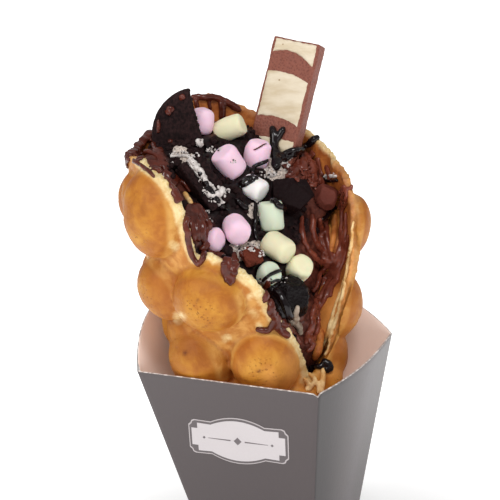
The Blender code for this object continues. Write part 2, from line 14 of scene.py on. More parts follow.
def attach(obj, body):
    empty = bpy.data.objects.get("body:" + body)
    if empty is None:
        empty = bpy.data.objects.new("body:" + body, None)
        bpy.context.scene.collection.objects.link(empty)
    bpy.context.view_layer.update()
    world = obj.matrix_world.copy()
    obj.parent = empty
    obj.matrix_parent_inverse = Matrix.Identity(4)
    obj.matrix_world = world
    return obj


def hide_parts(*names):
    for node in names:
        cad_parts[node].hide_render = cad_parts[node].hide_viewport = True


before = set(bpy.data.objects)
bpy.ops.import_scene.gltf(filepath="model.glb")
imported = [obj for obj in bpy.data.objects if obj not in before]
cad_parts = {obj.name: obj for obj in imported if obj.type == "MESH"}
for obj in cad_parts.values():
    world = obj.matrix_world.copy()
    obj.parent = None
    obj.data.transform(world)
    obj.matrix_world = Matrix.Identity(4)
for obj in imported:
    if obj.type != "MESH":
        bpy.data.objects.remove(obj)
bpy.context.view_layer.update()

mm = 0.001
mergeReach = 0.01 * mm

# The photograph's view: turn, rise and roll of the camera in degrees, and its frame in pixels
photo = {
    "turn": 30.3, "rise": 15.34, "roll": -4.83, "distance": 600 * mm,
    "focal": 1250.4, "frame": 500, "sensor": 36.0,
    "aim": (-8.2 * mm, 48.9 * mm, 130 * mm),   # across, up, and height over the base
}
# The opening's face, which the toppings are placed on: millimetres across, up and out
opening = {"turn": 30.3, "rise": 15.3, "roll": -4.8, "origin": (-10, 9.2, 177.7)}


def viewAxes(view):
    # across, up and towards the camera
    turn, rise, roll = (math.radians(view[key]) for key in ("turn", "rise", "roll"))
    back = Vector((math.sin(turn) * math.cos(rise), -math.cos(turn) * math.cos(rise), math.sin(rise)))
    level = Vector((math.cos(turn), math.sin(turn), 0))
    lift = back.cross(level)
    return (level * math.cos(roll) + lift * math.sin(roll),
            lift * math.cos(roll) - level * math.sin(roll), back)


sideAxis, topAxis, backAxis = viewAxes(photo)
acrossAxis, upAxis, outAxis = viewAxes(opening)
eye = (Vector((0, 0, photo["aim"][2])) + sideAxis * photo["aim"][0] + topAxis * photo["aim"][1]
       + backAxis * photo["distance"])
faceOrigin = Vector(opening["origin"]) * mm
middlePixel = photo["frame"] / 2


def photoRay(x, y):
    # the line of sight through a pixel of the photograph
    return (sideAxis * (x - middlePixel) / photo["focal"] - topAxis * (y - middlePixel) / photo["focal"]
            - backAxis).normalized()


def photoSpots(spots):
    # where points of the model fall in the photograph, in pixels
    away = spots - np.array(eye)
    depth = -(away @ np.array(backAxis))
    return np.stack([middlePixel + photo["focal"] * (away @ np.array(sideAxis)) / depth,
                     middlePixel - photo["focal"] * (away @ np.array(topAxis)) / depth], 1)


def facePoint(across, up, out):
    return faceOrigin + (acrossAxis * across + upAxis * up + outAxis * out) * mm


def faceVector(across, up, out):
    return (acrossAxis * across + upAxis * up + outAxis * out).normalized()


def smooth(value):
    value = np.clip(value, 0, 1)
    return value * value * (3 - 2 * value)


def fade(value, start, reach):
    # 1 up to start, 0 from one reach beyond it
    return 1 - smooth((value - start) / reach)


def window(value, start, full, fading, end):
    # rises from start to full, falls from fading to end
    return smooth((value - start) / (full - start)) * fade(value, fading, end - fading)


def zoneShare(spots, zones, start=0.7, reach=0.5):
    # how much each point lies in round zones of the photograph, which are pixels with a radius
    seen = photoSpots(spots)
    share = np.zeros(len(spots))
    for x, y, radius in zones:
        away = np.hypot(seen[:, 0] - x, seen[:, 1] - y) / radius
        share = np.maximum(share, fade(away, start, reach))
    return share


# Shader building

def tone(red, green, blue):
    # a colour as a screen shows it, 0 to 255, turned into light by the screen's curve
    return tuple(((c / 255 + 0.055) / 1.055) ** 2.4 if c > 10 else c / 3295 for c in (red, green, blue))


class Wire:
    # one output of a node, usable in Python sums
    def __init__(self, paint, socket):
        self.paint = paint
        self.socket = socket

    def __add__(self, other):
        return self.paint.sum("ADD", self, other)

    __radd__ = __add__

    def __sub__(self, other):
        return self.paint.sum("SUBTRACT", self, other)

    def __rsub__(self, other):
        return self.paint.sum("SUBTRACT", other, self)

    def __mul__(self, other):
        return self.paint.sum("MULTIPLY", self, other)

    __rmul__ = __mul__

    def between(self, low, high):
        # 0 below low, 1 above high, soft in between
        return self.paint.node("ShaderNodeMapRange", {"interpolation_type": "SMOOTHSTEP"},
                               [self, low, high, 0.0, 1.0])


class Paint:
    # one material under construction
    def __init__(self, name):
        self.material = bpy.data.materials.new(name)
        self.material.use_nodes = True
        self.tree = self.material.node_tree
        self.shader = self.tree.nodes["Principled BSDF"]
        place = self.tree.nodes.new("ShaderNodeTexCoord")
        self.place = Wire(self, place.outputs["Object"])

    def node(self, kind, settings, values, output=0):
        made = self.tree.nodes.new(kind)
        for key, value in settings.items():
            setattr(made, key, value)
        named = values.items() if isinstance(values, dict) else enumerate(values)
        for key, value in named:
            self.feed(made.inputs[key], value)
        return Wire(self, made.outputs[output])

    def feed(self, socket, value):
        if isinstance(value, Wire):
            self.tree.links.new(value.socket, socket)
        elif socket.type == "RGBA":
            socket.default_value = (*value, 1)
        else:
            socket.default_value = value

    def sum(self, operation, first, second):
        return self.node("ShaderNodeMath", {"operation": operation}, [first, second])

    def noise(self, scale, detail=3.0, rough=0.5, place=None, warp=0.0):
        return self.node("ShaderNodeTexNoise", {}, {
            "Vector": place or self.place, "Scale": scale, "Detail": detail,
            "Roughness": rough, "Distortion": warp})

    def cells(self, scale):
        return self.node("ShaderNodeTexVoronoi", {}, {"Vector": self.place, "Scale": scale})

    def vector(self, operation, *others, output=0):
        # vector sums with the place as their first value
        return self.node("ShaderNodeVectorMath", {"operation": operation}, [self.place, *others], output)

    def mark(self, name):
        return self.node("ShaderNodeAttribute", {"attribute_name": name}, [], "Fac")

    def mix(self, share, first, second):
        return self.node("ShaderNodeMix", {"data_type": "RGBA"}, {0: share, 6: first, 7: second}, 2)

    def ramp(self, value, stops):
        made = self.node("ShaderNodeValToRGB", {}, [value])
        elements = made.socket.node.color_ramp.elements
        while len(elements) < len(stops):
            elements.new(0.5)
        for element, (spot, colour) in zip(elements, stops):
            element.position = spot
            element.color = (*colour, 1)
        return made

    def bump(self, height, reach, strength):
        return self.node("ShaderNodeBump", {}, {"Strength": strength, "Distance": reach, "Height": height})

    def finish(self, **sockets):
        for key, value in sockets.items():
            self.feed(self.shader.inputs[key.replace("_", " ")], value)
        return self.material


# Paints of a fine and a broad noise
grains = {
    # fine and broad: scale, detail and roughness; blend: their share in the colour, span: the part of
    # it that is used; shine: the roughness, what the fine noise adds to it, and the specular level;
    # relief: their share in the relief, its depth and its strength
    "ink": {"fine": (1500.0,), "broad": (60.0, 2.0), "blend": (0.5, 0.5),
            "shine": (0.42, 0.1, 0.5), "relief": (1, 0, 0.03 * mm, 0.4)},
    "wafer": {"fine": (700.0, 5.0, 0.65), "broad": (120.0,), "blend": (0.7, 0.3), "span": (0.35, 0.65),
              "shine": (0.6, 0.2, 0.1), "relief": (1, 0, 0.35 * mm, 0.9)},
    "chunk": {"fine": (900.0, 4.0, 0.65), "broad": (200.0,), "blend": (0.5, 0.5)},
    "syrup": {"fine": (260.0,), "broad": (260.0,), "blend": (1, 0),
              "shine": (0.05, 0.08, 0.28), "relief": (1, 0, 0.4 * mm, 0.7)},
    "ridge": {"fine": (760.0, 4.0, 0.6), "broad": (190.0, 4.0, 0.6), "blend": (0, 1), "span": (0.35, 0.65),
              "shine": (0.5, 0.15, 0.3), "relief": (0.6, 0.4, 0.3 * mm, 0.8)},
    "melted": {"fine": (1100.0,), "broad": (300.0,), "blend": (0, 1), "span": (0.3, 0.7),
               "shine": (0.4, 0.15, 0.3), "relief": (0.3, 0.6, 0.4 * mm, 0.7)},
}


def grainedPaint(name, grain, dark, light, **changes):
    look = {**grains[grain], **changes}
    paint = Paint(name)
    fine, broad = paint.noise(*look["fine"]), paint.noise(*look["broad"])
    share = fine * look["blend"][0] + broad * look["blend"][1]
    if "span" in look:
        share = share.between(*look["span"])
    rough, rougher, specular = look["shine"]
    fineShare, broadShare, depth, strength = look["relief"]
    return paint.finish(Base_Color=paint.mix(share, tone(*dark), tone(*light)),
                        Roughness=rough + fine * rougher, Specular_IOR_Level=specular,
                        Normal=paint.bump(fine * fineShare + broad * broadShare, depth, strength))


# Mesh building

def plainObject(name, mesh):
    obj = bpy.data.objects.new(name, mesh)
    bpy.context.scene.collection.objects.link(obj)
    return obj


def meshOf(bm):
    mesh = bpy.data.meshes.new("shape")
    bm.to_mesh(mesh)
    bm.free()
    return mesh


def templateOf(bm):
    # a shape's points and triangles as arrays
    bmesh.ops.triangulate(bm, faces=bm.faces)
    spots = np.array([vert.co[:] for vert in bm.verts])
    faces = np.array([[vert.index for vert in face.verts] for face in bm.faces])
    bm.free()
    return spots, faces


def joined(name, spots, faces):
    mesh = bpy.data.meshes.new(name)
    mesh.from_pydata(np.concatenate(spots).tolist(), [], np.concatenate(faces).tolist())
    mesh.update()
    return mesh


def modified(mesh, kind, **settings):
    # the mesh as one modifier leaves it
    obj = plainObject("work", mesh)
    modifier = obj.modifiers.new("work", kind)
    for key, value in settings.items():
        setattr(modifier, key, value)
    graph = bpy.context.evaluated_depsgraph_get()
    made = bpy.data.meshes.new_from_object(obj.evaluated_get(graph))
    bpy.data.objects.remove(obj)
    return made


def spotsOf(mesh):
    spots = np.empty(len(mesh.vertices) * 3)
    mesh.vertices.foreach_get("co", spots)
    return spots.reshape(-1, 3)


def normalsOf(mesh):
    normals = np.empty(len(mesh.vertices) * 3)
    mesh.vertex_normals.foreach_get("vector", normals)
    return normals.reshape(-1, 3)


def place(mesh, spots):
    mesh.vertices.foreach_set("co", np.asarray(spots, np.float32).ravel())
    mesh.update()


def pushOut(mesh, spots, push):
    # each point moves along its normal
    place(mesh, spots + normalsOf(mesh) * push[:, None])


def relaxed(mesh, spots, rounds, share=0.5):
    # each point moves towards the middle of its neighbours
    ends = np.empty(len(mesh.edges) * 2, np.int32)
    mesh.edges.foreach_get("vertices", ends)
    first, second = ends[::2], ends[1::2]
    count = len(spots)
    degree = np.maximum(np.bincount(ends, minlength=count), 1)
    spots = spots.copy()
    for turn in range(rounds):
        for axis in range(3):
            total = (np.bincount(first, spots[second, axis], count)
                     + np.bincount(second, spots[first, axis], count))
            spots[:, axis] += (total / degree - spots[:, axis]) * share
    return spots


def melted(mesh, voxel, rounds=2):
    # one skin round everything in the mesh, its steps smoothed away
    mesh = modified(mesh, "REMESH", mode="VOXEL", voxel_size=voxel)
    spots = relaxed(mesh, spotsOf(mesh), rounds)
    place(mesh, spots)
    return mesh, spots


def mottle(spots, size, seed, octaves):
    # soft noise, about -1 to 1, with features of that size
    shift = Vector((seed * 7.31, seed * 3.17, seed * 5.71))
    return np.array([noise.fractal(Vector(spot) / size + shift, 1.0, 2.0, octaves) for spot in spots])


def mark(mesh, name, values):
    attribute = mesh.attributes.new(name, "FLOAT", "POINT")
    attribute.data.foreach_set("value", np.asarray(values, np.float32))


def addPiece(name, mesh, material, slot, node=None, soft=True):
    obj = plainObject(name, mesh)
    mesh.materials.clear()
    mesh.materials.append(material)
    mesh.polygons.foreach_set("use_smooth", np.full(len(mesh.polygons), soft))
    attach(obj, "root")
    if node:
        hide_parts(node)
    return obj


def treeOf(objects):
    # one search tree over several pieces
    spots, faces, start = [], [], 0
    for obj in objects:
        own = spotsOf(obj.data)
        spots.append(own)
        faces += [[start + index for index in polygon.vertices] for polygon in obj.data.polygons]
        start += len(own)
    return BVHTree.FromPolygons(np.concatenate(spots).tolist(), faces)


def axesMatrix(side, along, face, origin):
    # turns a shape's own X, Y and Z into the three axes and moves it to the origin
    matrix = Matrix((side, along, face)).transposed().to_4x4()
    matrix.translation = origin
    return matrix


# Card holder: its sizes are the frame's, its walls lean towards a point far below the rim
holder = {
    "height": 130 * mm, "width": 95 * mm, "depth": 82.6 * mm, "apexDrop": 248 * mm,
    "card": 0.9 * mm, "backRise": 30 * mm, "leftRiseLength": 15 * mm, "backRiseLength": 40 * mm,
    "sideDip": 1.5 * mm, "sideBulge": 3.2 * mm, "cornerDrop": 1.3 * mm, "cornerReach": 0.035,
    "steps": 36, "rows": 48, "wave": 0.12 * mm, "waveSize": 35 * mm,
    "edgeRound": 0.22 * mm, "edgeAngle": 38, "flatFace": 40 * mm * mm,   # larger faces stay flat
    "cutDepth": 4 * mm, "cutFrom": 0.25, "cutSpan": 0.4, "floorTop": 0.4 * mm, "shell": 0.95,
    # the right panel gets a painted shade by its front corner and a painted highlight band further along it
    "facing": 0.7, "cornerShadeFade": (0.05, 0.5), "sheenMiddle": 0.66, "sheenWidth": 0.13,
    "outside": (tone(71, 63, 64), tone(83, 75, 75)), "inside": (tone(238, 214, 203), tone(252, 236, 228)),
    # colours of that painted shade and painted highlight, and the faint glow painted on the card's inside
    "corner": tone(38, 33, 34), "paintedSheen": tone(92, 85, 87), "through": (0.075, 0.06, 0.048),
    "cut": (tone(170, 158, 152), tone(236, 228, 222)),
}


def holderHalf(z):
    share = 1 - (holder["height"] - z) / holder["apexDrop"]
    return holder["width"] / 2 * share, holder["depth"] / 2 * share


def holderTop(side, along):
    # how far the rim is over the front rim; sides run left, front, right, back from their first corners
    if side == 0:
        distance = (1 - along) * holder["depth"]
        return holder["backRise"] * (1 - math.exp(-distance / holder["leftRiseLength"]))
    if side == 3:
        full = 1 - math.exp(-holder["width"] / holder["backRiseLength"])
        distance = along * holder["width"]
        return holder["backRise"] * (1 - math.exp(-distance / holder["backRiseLength"])) / full
    away = 1 - along if side == 1 else along
    corner = max(0, 1 - away / holder["cornerReach"])
    dip = holder["sideDip"] * 4 * along * (1 - along) if side == 2 else 0
    return -dip - holder["cornerDrop"] * corner * corner


def cardPaint():
    paint = Paint("card_grey")
    inside = paint.mark("inside")
    fibre = paint.noise(900.0, 4.0, 0.6, paint.vector("MULTIPLY", (1, 1, 0.25)))
    cloud = paint.noise(14.0, 2.0)
    worn = paint.noise(420.0)
    outer = paint.mix((cloud - 0.5) * 0.5 + (fibre - 0.5) * 0.25 + 0.5, *holder["outside"])
    # painted shade on the right panel by its front corner, then its painted highlight band
    outer = paint.mix(paint.mark("corner") * 0.8, outer, holder["corner"])
    outer = paint.mix(paint.mark("paintedSheen") * 0.5, outer, holder["paintedSheen"])
    inner = paint.mix((cloud - 0.5) * 0.8 + (fibre - 0.5) * 0.3 + 0.5, *holder["inside"])
    body = paint.mix(inside, outer, inner)
    cut = paint.mark("cut")
    colour = paint.mix(cut, body, paint.mix(worn.between(0.42, 0.62), *holder["cut"]))
    # painted light: the card's inside glows faintly to lift its shade; the cut edges don't glow
    glow = paint.mix(inside * (1 - cut), (0.0, 0.0, 0.0), holder["through"])
    return paint.finish(Base_Color=colour, Roughness=0.27 + fibre * 0.1 + inside * 0.25,
                        Specular_IOR_Level=0.36, Emission_Color=glow, Emission_Strength=1.0,
                        Normal=paint.bump(fibre, 0.06 * mm, 0.5))


def foldedCard():
    # a grid wrapped round the four sides, shut below and given the card's thickness
    corners = [(-1, 1), (-1, -1), (1, -1), (1, 1), (-1, 1)]
    steps, rows = holder["steps"], holder["rows"]
    bm = bmesh.new()
    bmesh.ops.create_grid(bm, x_segments=4 * steps, y_segments=rows, size=0.5)
    for vert in bm.verts:
        s = round((vert.co.x + 0.5) * 4 * steps) / steps
        t = vert.co.y + 0.5
        side = min(int(s), 3)
        along = s - side
        z = t * (holder["height"] + holderTop(side, along))
        halfWidth, halfDepth = holderHalf(z)
        start, end = corners[side], corners[side + 1]
        x = (start[0] + (end[0] - start[0]) * along) * halfWidth
        y = (start[1] + (end[1] - start[1]) * along) * halfDepth
        bend = math.sin(math.pi * along)
        if side == 2:
            x += holder["sideBulge"] * bend * t ** 1.5
            x -= noise.noise(Vector((x, y, z)) / holder["waveSize"]) * holder["wave"] * bend
        vert.co = (x, y, z)
    bmesh.ops.remove_doubles(bm, verts=bm.verts, dist=mergeReach)
    base = [e for e in bm.edges if e.is_boundary and max(v.co.z for v in e.verts) < mm]
    bmesh.ops.contextual_create(bm, geom=base)
    bmesh.ops.recalc_face_normals(bm, faces=bm.faces)
    mesh = modified(meshOf(bm), "SOLIDIFY", thickness=holder["card"], offset=-1, use_even_offset=True)
    return modified(mesh, "BEVEL", width=holder["edgeRound"], segments=2, limit_method="ANGLE",
                    angle_limit=math.radians(holder["edgeAngle"]))


def buildHolder():
    mesh = foldedCard()
    spots, normals = spotsOf(mesh), normalsOf(mesh)
    halves = np.array([holderHalf(z) for z in spots[:, 2]])
    inward = np.maximum(np.abs(spots[:, 0]) / halves[:, 0], np.abs(spots[:, 1]) / halves[:, 1])
    outward = (normals[:, :2] * spots[:, :2]).sum(1)
    overBase = spots[:, 2] > holder["floorTop"]
    mark(mesh, "inside", (outward < 0) | ((inward < holder["shell"]) & overBase))
    nearRim = spots[:, 2] > holder["height"] - holder["cutDepth"]
    mark(mesh, "cut", smooth((normals[:, 2] - holder["cutFrom"]) / holder["cutSpan"]) * nearRim)
    # where the right panel's painted shade and painted highlight band lie
    along = (spots[:, 1] / halves[:, 1] + 1) / 2
    right = normals[:, 0] > holder["facing"]
    mark(mesh, "corner", right * fade(along, *holder["cornerShadeFade"]))
    mark(mesh, "paintedSheen", right * np.exp(-((along - holder["sheenMiddle"]) / holder["sheenWidth"]) ** 2))
    addPiece("card_holder", mesh, cardPaint(), "card", "carton")
    for polygon in mesh.polygons:
        polygon.use_smooth = polygon.area < holder["flatFace"]
    print("holder folded", len(mesh.polygons))


# Label: a bare plaque in the style of the printed one, on the front panel
label = {
    "middle": 99.3 * mm, "shift": 1.4 * mm, "slant": 0.14, "rise": 0.03,
    "halfWidth": 25.0 * mm, "halfHeight": 7.7 * mm, "notch": (3.3 * mm, 3.0 * mm),
    "arch": 3.4 * mm, "archReach": 14.3 * mm, "archDrop": 0.25 * mm, "archSteps": 24,
    "band": 1.15 * mm, "line": 0.5 * mm, "lift": 0.12 * mm, "thickness": 0.1 * mm,
    "stroke": (3.8 * mm, 16 * mm), "strokeHalf": (0.34 * mm, 0.1 * mm),   # its inner and outer end
    "lozenge": 2.1 * mm, "endLozenge": 0.8 * mm, "endPlace": 18.2 * mm,
}


def plaqueOutline(grow, stepped):
    # the whole outline as (across, up), clockwise from the left
    wide, tall = label["halfWidth"] + grow, label["halfHeight"] + grow
    notchWide, notchTall = label["notch"]
    reach, steps = label["archReach"], label["archSteps"]
    notch = [(1, 1), (1, 0)] if stepped else [(0.4, 0.62), (0.55, 0.2), (0.95, 0)]
    top = [(-wide, tall - notchTall)]
    top += [(-wide + notchWide * across, tall - notchTall * down) for across, down in notch]
    left = list(top)
    for step in range(steps + 1):
        across = -reach + 2 * reach * step / steps
        top.append((across, tall + label["arch"] * (1 - (across / reach) ** 2) - label["archDrop"]))
    top += [(-across, up) for across, up in reversed(left)]
    return top + [(across, -up) for across, up in reversed(top)]


def lozenge(middle, half):
    return [(middle - half, 0), (middle, half), (middle + half, 0), (middle, -half)]


def panelPoint(across, up, lift):
    # a point on the front panel, which leans inward below the rim
    across, up = across + label["slant"] * up, up + label["rise"] * across
    z = label["middle"] + up
    halfWidth, halfDepth = holderHalf(z)
    lean = holder["depth"] / 2 / holder["apexDrop"]
    return Vector((across + label["shift"], -halfDepth - lift, z - lift * lean))


def printedShape(name, loops, lift, dark, light):
    # flat printed fields, a hair above the card
    bm = bmesh.new()
    for loop in loops:
        corners = [panelPoint(across, up, lift * label["lift"]) for across, up in loop]
        face = bm.faces.new([bm.verts.new(corner) for corner in corners])
        face.normal_update()
        if face.normal.y > 0:
            face.normal_flip()
    bmesh.ops.triangulate(bm, faces=bm.faces)
    mesh = modified(meshOf(bm), "SOLIDIFY", thickness=label["thickness"], offset=-1)
    addPiece(name, mesh, grainedPaint(name + "_ink", "ink", dark, light), "card", soft=False)


def buildLabel():
    near, far = label["stroke"]
    thick, thin = label["strokeHalf"]
    shapes = []
    for side in (-1, 1):
        shapes.append([(side * near, thick), (side * far, thin), (side * far, -thin), (side * near, -thick)])
        shapes.append(lozenge(side * label["endPlace"], label["endLozenge"]))
    shapes.append(lozenge(0, label["lozenge"]))
    border = plaqueOutline(label["band"], False)
    outline = plaqueOutline(label["band"] + label["line"], False)
    printedShape("label_outline", [outline], 1, (172, 164, 164), (190, 182, 182))
    printedShape("label_border", [border], 1.6, (84, 76, 77), (96, 88, 89))
    printedShape("label_plaque", [plaqueOutline(0, True)], 2.2, (188, 181, 182), (200, 193, 194))
    printedShape("label_ornament", shapes, 2.8, (92, 84, 86), (110, 102, 104))
    print("label printed")


# Waffle: the roll, its free edge and its bubbles, in the frame's sizes
waffle = {
    "thickness": 3.6 * mm, "bottom": -94 * mm, "point": -108 * mm, "slope": 0.31, "full": 30 * mm,
    "radius": 53.5 * mm, "softness": 2.8 * mm, "shift": (-4.5 * mm, 1.0 * mm),
    "squeeze": 0.84, "squeezeFade": 45 * mm, "gap": 0.35 * mm, "wallSoftness": 0.9 * mm,
    "release": 1.6, "columns": 260, "rows": 60, "edgePoints": 1500, "voxel": 1.16 * mm,
    "inward": 1.6, "swell": 0.02, "behind": 4 * mm, "skin": 2.4 * mm, "paler": 0.62, "facing": 0.1,
    "edgeWave": 0.9 * mm, "edgeWaves": (9, 120),   # how deep, and how many round and along
    "crease": 0.9, "creaseDepth": 0.55 * mm, "creaseRounds": 14,
    "dents": ((9 * mm, 1, 2, 0.35 * mm), (2.6 * mm, 2, 3, 0.16 * mm)),   # size, seed, octaves, depth
    "lipCrumbs": (2.2 * mm, 3, 3, 0.85 * mm), "wander": (7 * mm, 4, 2, 0.8 * mm),
    # where each of these starts to fade and over what reach, in distance from the free edge; but
    # lowFade goes by the height over the front rim, and leanFade by the distance out of the roll
    "lipFade": (1.2 * mm, 2.6 * mm), "rimFade": (1.4 * mm, 1.6 * mm), "edgeFade": (1.8 * mm, 5.0 * mm),
    "lowFade": (45 * mm, 22 * mm), "lipInsideFade": (3 * mm, 14 * mm), "leanFade": (0, 4 * mm),
    # the frayed stretches of the edge in degrees round the roll: start, full, fading, end
    "flap": (228, 240, 340, 350), "backFlap": (46, 60, 92, 104), "flapLeast": 0.14, "backFlapShare": 0.6,
    "leans": [   # how far the wall leans out (mm), between which angles, between which heights
        (3.8, (-14, 8, 32, 62), (-14, 4, 38, 62)), (-4.4, (20, 32, 50, 66), (60, 82, 130, 150)),
        (1.9, (58, 70, 84, 100), (66, 84, 150, 160))],
    "zones": {   # pixel and reach of what the photograph shows where
        "nicks": [(259, 371, 3.2), (185, 353, 3.6), (197, 301, 2.4)],
        "bare": [(222, 269, 17), (205, 264, 12), (192, 270, 12)],
        "paler": [(179, 318, 15), (226, 338, 12), (254, 314, 13), (250, 296, 9), (259, 326, 9),
                  (300, 350, 10), (306, 370, 12), (175, 246, 13), (312, 384, 12), (304, 380, 12)],
        # painted light: lighter patches on the lower bubbles by the card's rim and on the inner wall, where
        # these sit in shade
        "lit": [(294, 376, 30), (333, 224, 17), (272, 378, 18), (335, 372, 15)],
        "golden": [(206, 274, 34), (184, 280, 20), (230, 286, 18)],
        # patches where the colour is made darker: the right side, the lower left and along the card's rim
        "darkerPatches": [(352, 300, 40), (348, 350, 34), (360, 215, 30), (356, 245, 20), (158, 290, 34),
                    (185, 345, 26), (150, 300, 20), (122, 205, 18), (128, 178, 18), (122, 228, 12),
                    (178, 371, 17), (229, 373, 15)],
    },
}
sheetEdge = [   # angle round the roll in degrees, millimetres above the front rim
    (-8, -11), (4, -3), (13, 8), (19, 25), (22, 45), (24, 66), (30, 80), (45, 84), (63, 86),
    (72, 90), (86, 99), (113, 108), (137, 119), (150, 117), (170, 106), (206, 101), (240, 103),
    (251, 99), (260, 95), (267, 84), (269, 72), (271, 61), (279, 63), (292, 56), (301, 49),
    (306, 41), (311, 31), (321, 19), (330, 8), (340, -4), (352, -11),
]
bubbles = [     # angle, height, half width, half height, bulge, and how far inward
    (247.5, 79, 16.4, 20.5, 12), (229, 82, 13, 14, 6), (237, 42, 15, 16, 11.5),
    (273, 41, 17.2, 16, 13), (241.5, 5, 17, 18, 15.5), (299.3, 5.5, 15.8, 19, 12.5),
    (36, 57, 14.5, 15.5, 7), (30, 20, 16.3, 17, 11.5), (22, -3, 14, 15, 10),
    (9, -12, 13, 14, 10), (233, 12, 13, 17, 9),
    (192, 76, 15, 15, 11), (163, 86, 16, 16, 12), (126, 84, 16, 16, 12),
    (86, 72, 16, 16, 11), (100, 44, 16, 16, 12), (62, 40, 15, 15, 11, 11.5),
    (143, 54, 16, 16, 12), (174, 50, 16, 16, 12), (201, 40, 13, 14, 7),
    (120, 23, 15, 15, 11), (162, 20, 15, 15, 11), (208, 14, 14, 16, 8.5),
    (57, 12.5, 15, 16, 10, 12), (43, 12, 15, 18, 1, 12), (280, -18, 14, 15, 13), (322, -24, 14, 15, 12),
    (238, -18, 13, 14, 12), (195, -18, 13, 14, 12), (145, -15, 14, 14, 13),
    (92, -10, 14, 14, 13), (50, -16, 14, 14, 12),
    (20, -48, 12, 13, 10), (85, -48, 12, 13, 10), (150, -48, 12, 13, 10),
    (215, -48, 12, 13, 10), (280, -48, 12, 13, 10),
    (50, -74, 9, 10, 9), (170, -74, 9, 10, 9), (290, -74, 9, 10, 9),
]


def rollRadius(height):
    soft = waffle["softness"]
    straight = waffle["slope"] * (height - waffle["point"])
    return -soft * np.log(np.exp(-straight / soft) + np.exp(-waffle["radius"] / soft))


def rollMiddle(height):
    share = smooth((height - waffle["point"]) / (waffle["full"] - waffle["point"]))
    flat = waffle["squeeze"] + (1 - waffle["squeeze"]) * smooth(height / waffle["squeezeFade"])
    return waffle["shift"][0] * share, waffle["shift"][1] * share, flat


def rollSpots(angle, height, offset=0.0):
    x, y, flat = rollMiddle(height)
    radius = rollRadius(height)
    return np.stack([x + (radius + offset) * np.cos(angle),
                     y + (radius * flat + offset) * np.sin(angle),
                     height + holder["height"]], -1)


def rollFrame(angle, height):
    # where the sheet's middle is, and the axes round the roll, along it and out of it
    step, turn = 0.5 * mm, 0.01
    around = Vector(rollSpots(angle + turn, height) - rollSpots(angle - turn, height)).normalized()
    along = Vector(rollSpots(angle, height + step) - rollSpots(angle, height - step)).normalized()
    outward = around.cross(along).normalized()
    return (rollSpots(angle, height, -waffle["thickness"] / 2), np.array(around),
            np.array(outward.cross(around)), np.array(outward))


def edgeLine(count):
    # points spread evenly along the sheet's free edge
    angles = np.radians([a for a, h in sheetEdge] + [sheetEdge[0][0] + 360])
    heights = np.array([h for a, h in sheetEdge] + [sheetEdge[0][1]]) * mm
    steps = np.hypot(np.diff(angles) * waffle["radius"], np.diff(heights))
    length = np.append(0, np.cumsum(steps))
    even = np.linspace(0, length[-1], count + 1)
    return np.interp(even, length, angles), np.interp(even, length, heights)


def pressedIn(spots):
    # pushes points softly inside the leaning card walls
    inner = holder["card"] + waffle["gap"]
    soft = waffle["wallSoftness"]
    z = spots[:, 2]
    height = z - holder["height"]
    share = 1 + height / holder["apexDrop"]
    free = np.maximum(height, 0) * waffle["release"]
    rear = np.maximum(height - holder["backRise"], 0) * waffle["release"]

    def press(value, limit):
        room = limit - inner - value
        return limit - inner - soft * np.logaddexp(0, room / soft)

    x = press(spots[:, 0], holder["width"] / 2 * share + free)
    x = -press(-x, holder["width"] / 2 * share + rear)
    y = press(spots[:, 1], holder["depth"] / 2 * share + rear)
    y = -press(-y, holder["depth"] / 2 * share + free)
    return np.stack([x, y, z], 1)


def sheetMesh():
    columns, rows = waffle["columns"], waffle["rows"]
    angles, heights = edgeLine(columns)
    across, along = waffle["edgeWaves"]
    for index, angle in enumerate(angles):
        wave = noise.noise(Vector((math.cos(angle) * across, math.sin(angle) * across,
                                   heights[index] * along)))
        heights[index] += wave * waffle["edgeWave"]
    heights[-1] = heights[0]
    bm = bmesh.new()
    bmesh.ops.create_grid(bm, x_segments=columns, y_segments=rows, size=0.5)
    for vert in bm.verts:
        column = round((vert.co.x + 0.5) * columns)
        height = waffle["bottom"] + (heights[column] - waffle["bottom"]) * (vert.co.y + 0.5)
        vert.co = rollSpots(angles[column], height)
    bmesh.ops.remove_doubles(bm, verts=bm.verts, dist=mergeReach)
    low = holder["height"] + waffle["bottom"] + 0.1 * mm
    ring = [e for e in bm.edges if e.is_boundary and max(v.co.z for v in e.verts) < low]
    bmesh.ops.contextual_create(bm, geom=ring)
    bmesh.ops.recalc_face_normals(bm, faces=bm.faces)
    return modified(meshOf(bm), "SOLIDIFY", thickness=waffle["thickness"], offset=-1)


def bubbleSpots(ball, degrees, height, halfWidth, halfHeight, bulge, inward=waffle["inward"]):
    # a ball squashed onto the sheet: proud of it outside, shallow or deep inside
    centre, around, along, outward = rollFrame(math.radians(degrees), height * mm)
    rise = bulge * mm + waffle["thickness"] / 2
    x, y, z = ball.T
    swell = 1 + waffle["swell"] * np.sin(3 * np.arctan2(y, x) + degrees)
    return (centre + np.outer(x * halfWidth * mm * swell, around)
            + np.outer(y * halfHeight * mm * swell, along)
            + np.outer(z * np.where(z > 0, rise, inward * mm), outward))


def domeShare(spots):
    # 1 on top of a bubble, 0 where it leaves the sheet or meets its neighbours
    best = np.full(len(spots), -1.0)
    for degrees, height, halfWidth, halfHeight, *bulges in bubbles:
        centre, around, along, outward = rollFrame(math.radians(degrees), height * mm)
        away = spots - centre
        near = 1 - (away @ around / (halfWidth * mm)) ** 2 - (away @ along / (halfHeight * mm)) ** 2
        best = np.maximum(best, np.where(away @ outward > -waffle["behind"], near, -1.0))
    return best


def edgeReach(spots):
    # how far points are from the sheet's free edge
    angles, heights = edgeLine(waffle["edgePoints"])
    rim = rollSpots(angles, heights, -waffle["thickness"] / 2)
    finder = KDTree(len(rim))
    for index, spot in enumerate(rim):
        finder.insert(spot, index)
    finder.balance()
    return np.array([finder.find(spot)[2] for spot in spots])


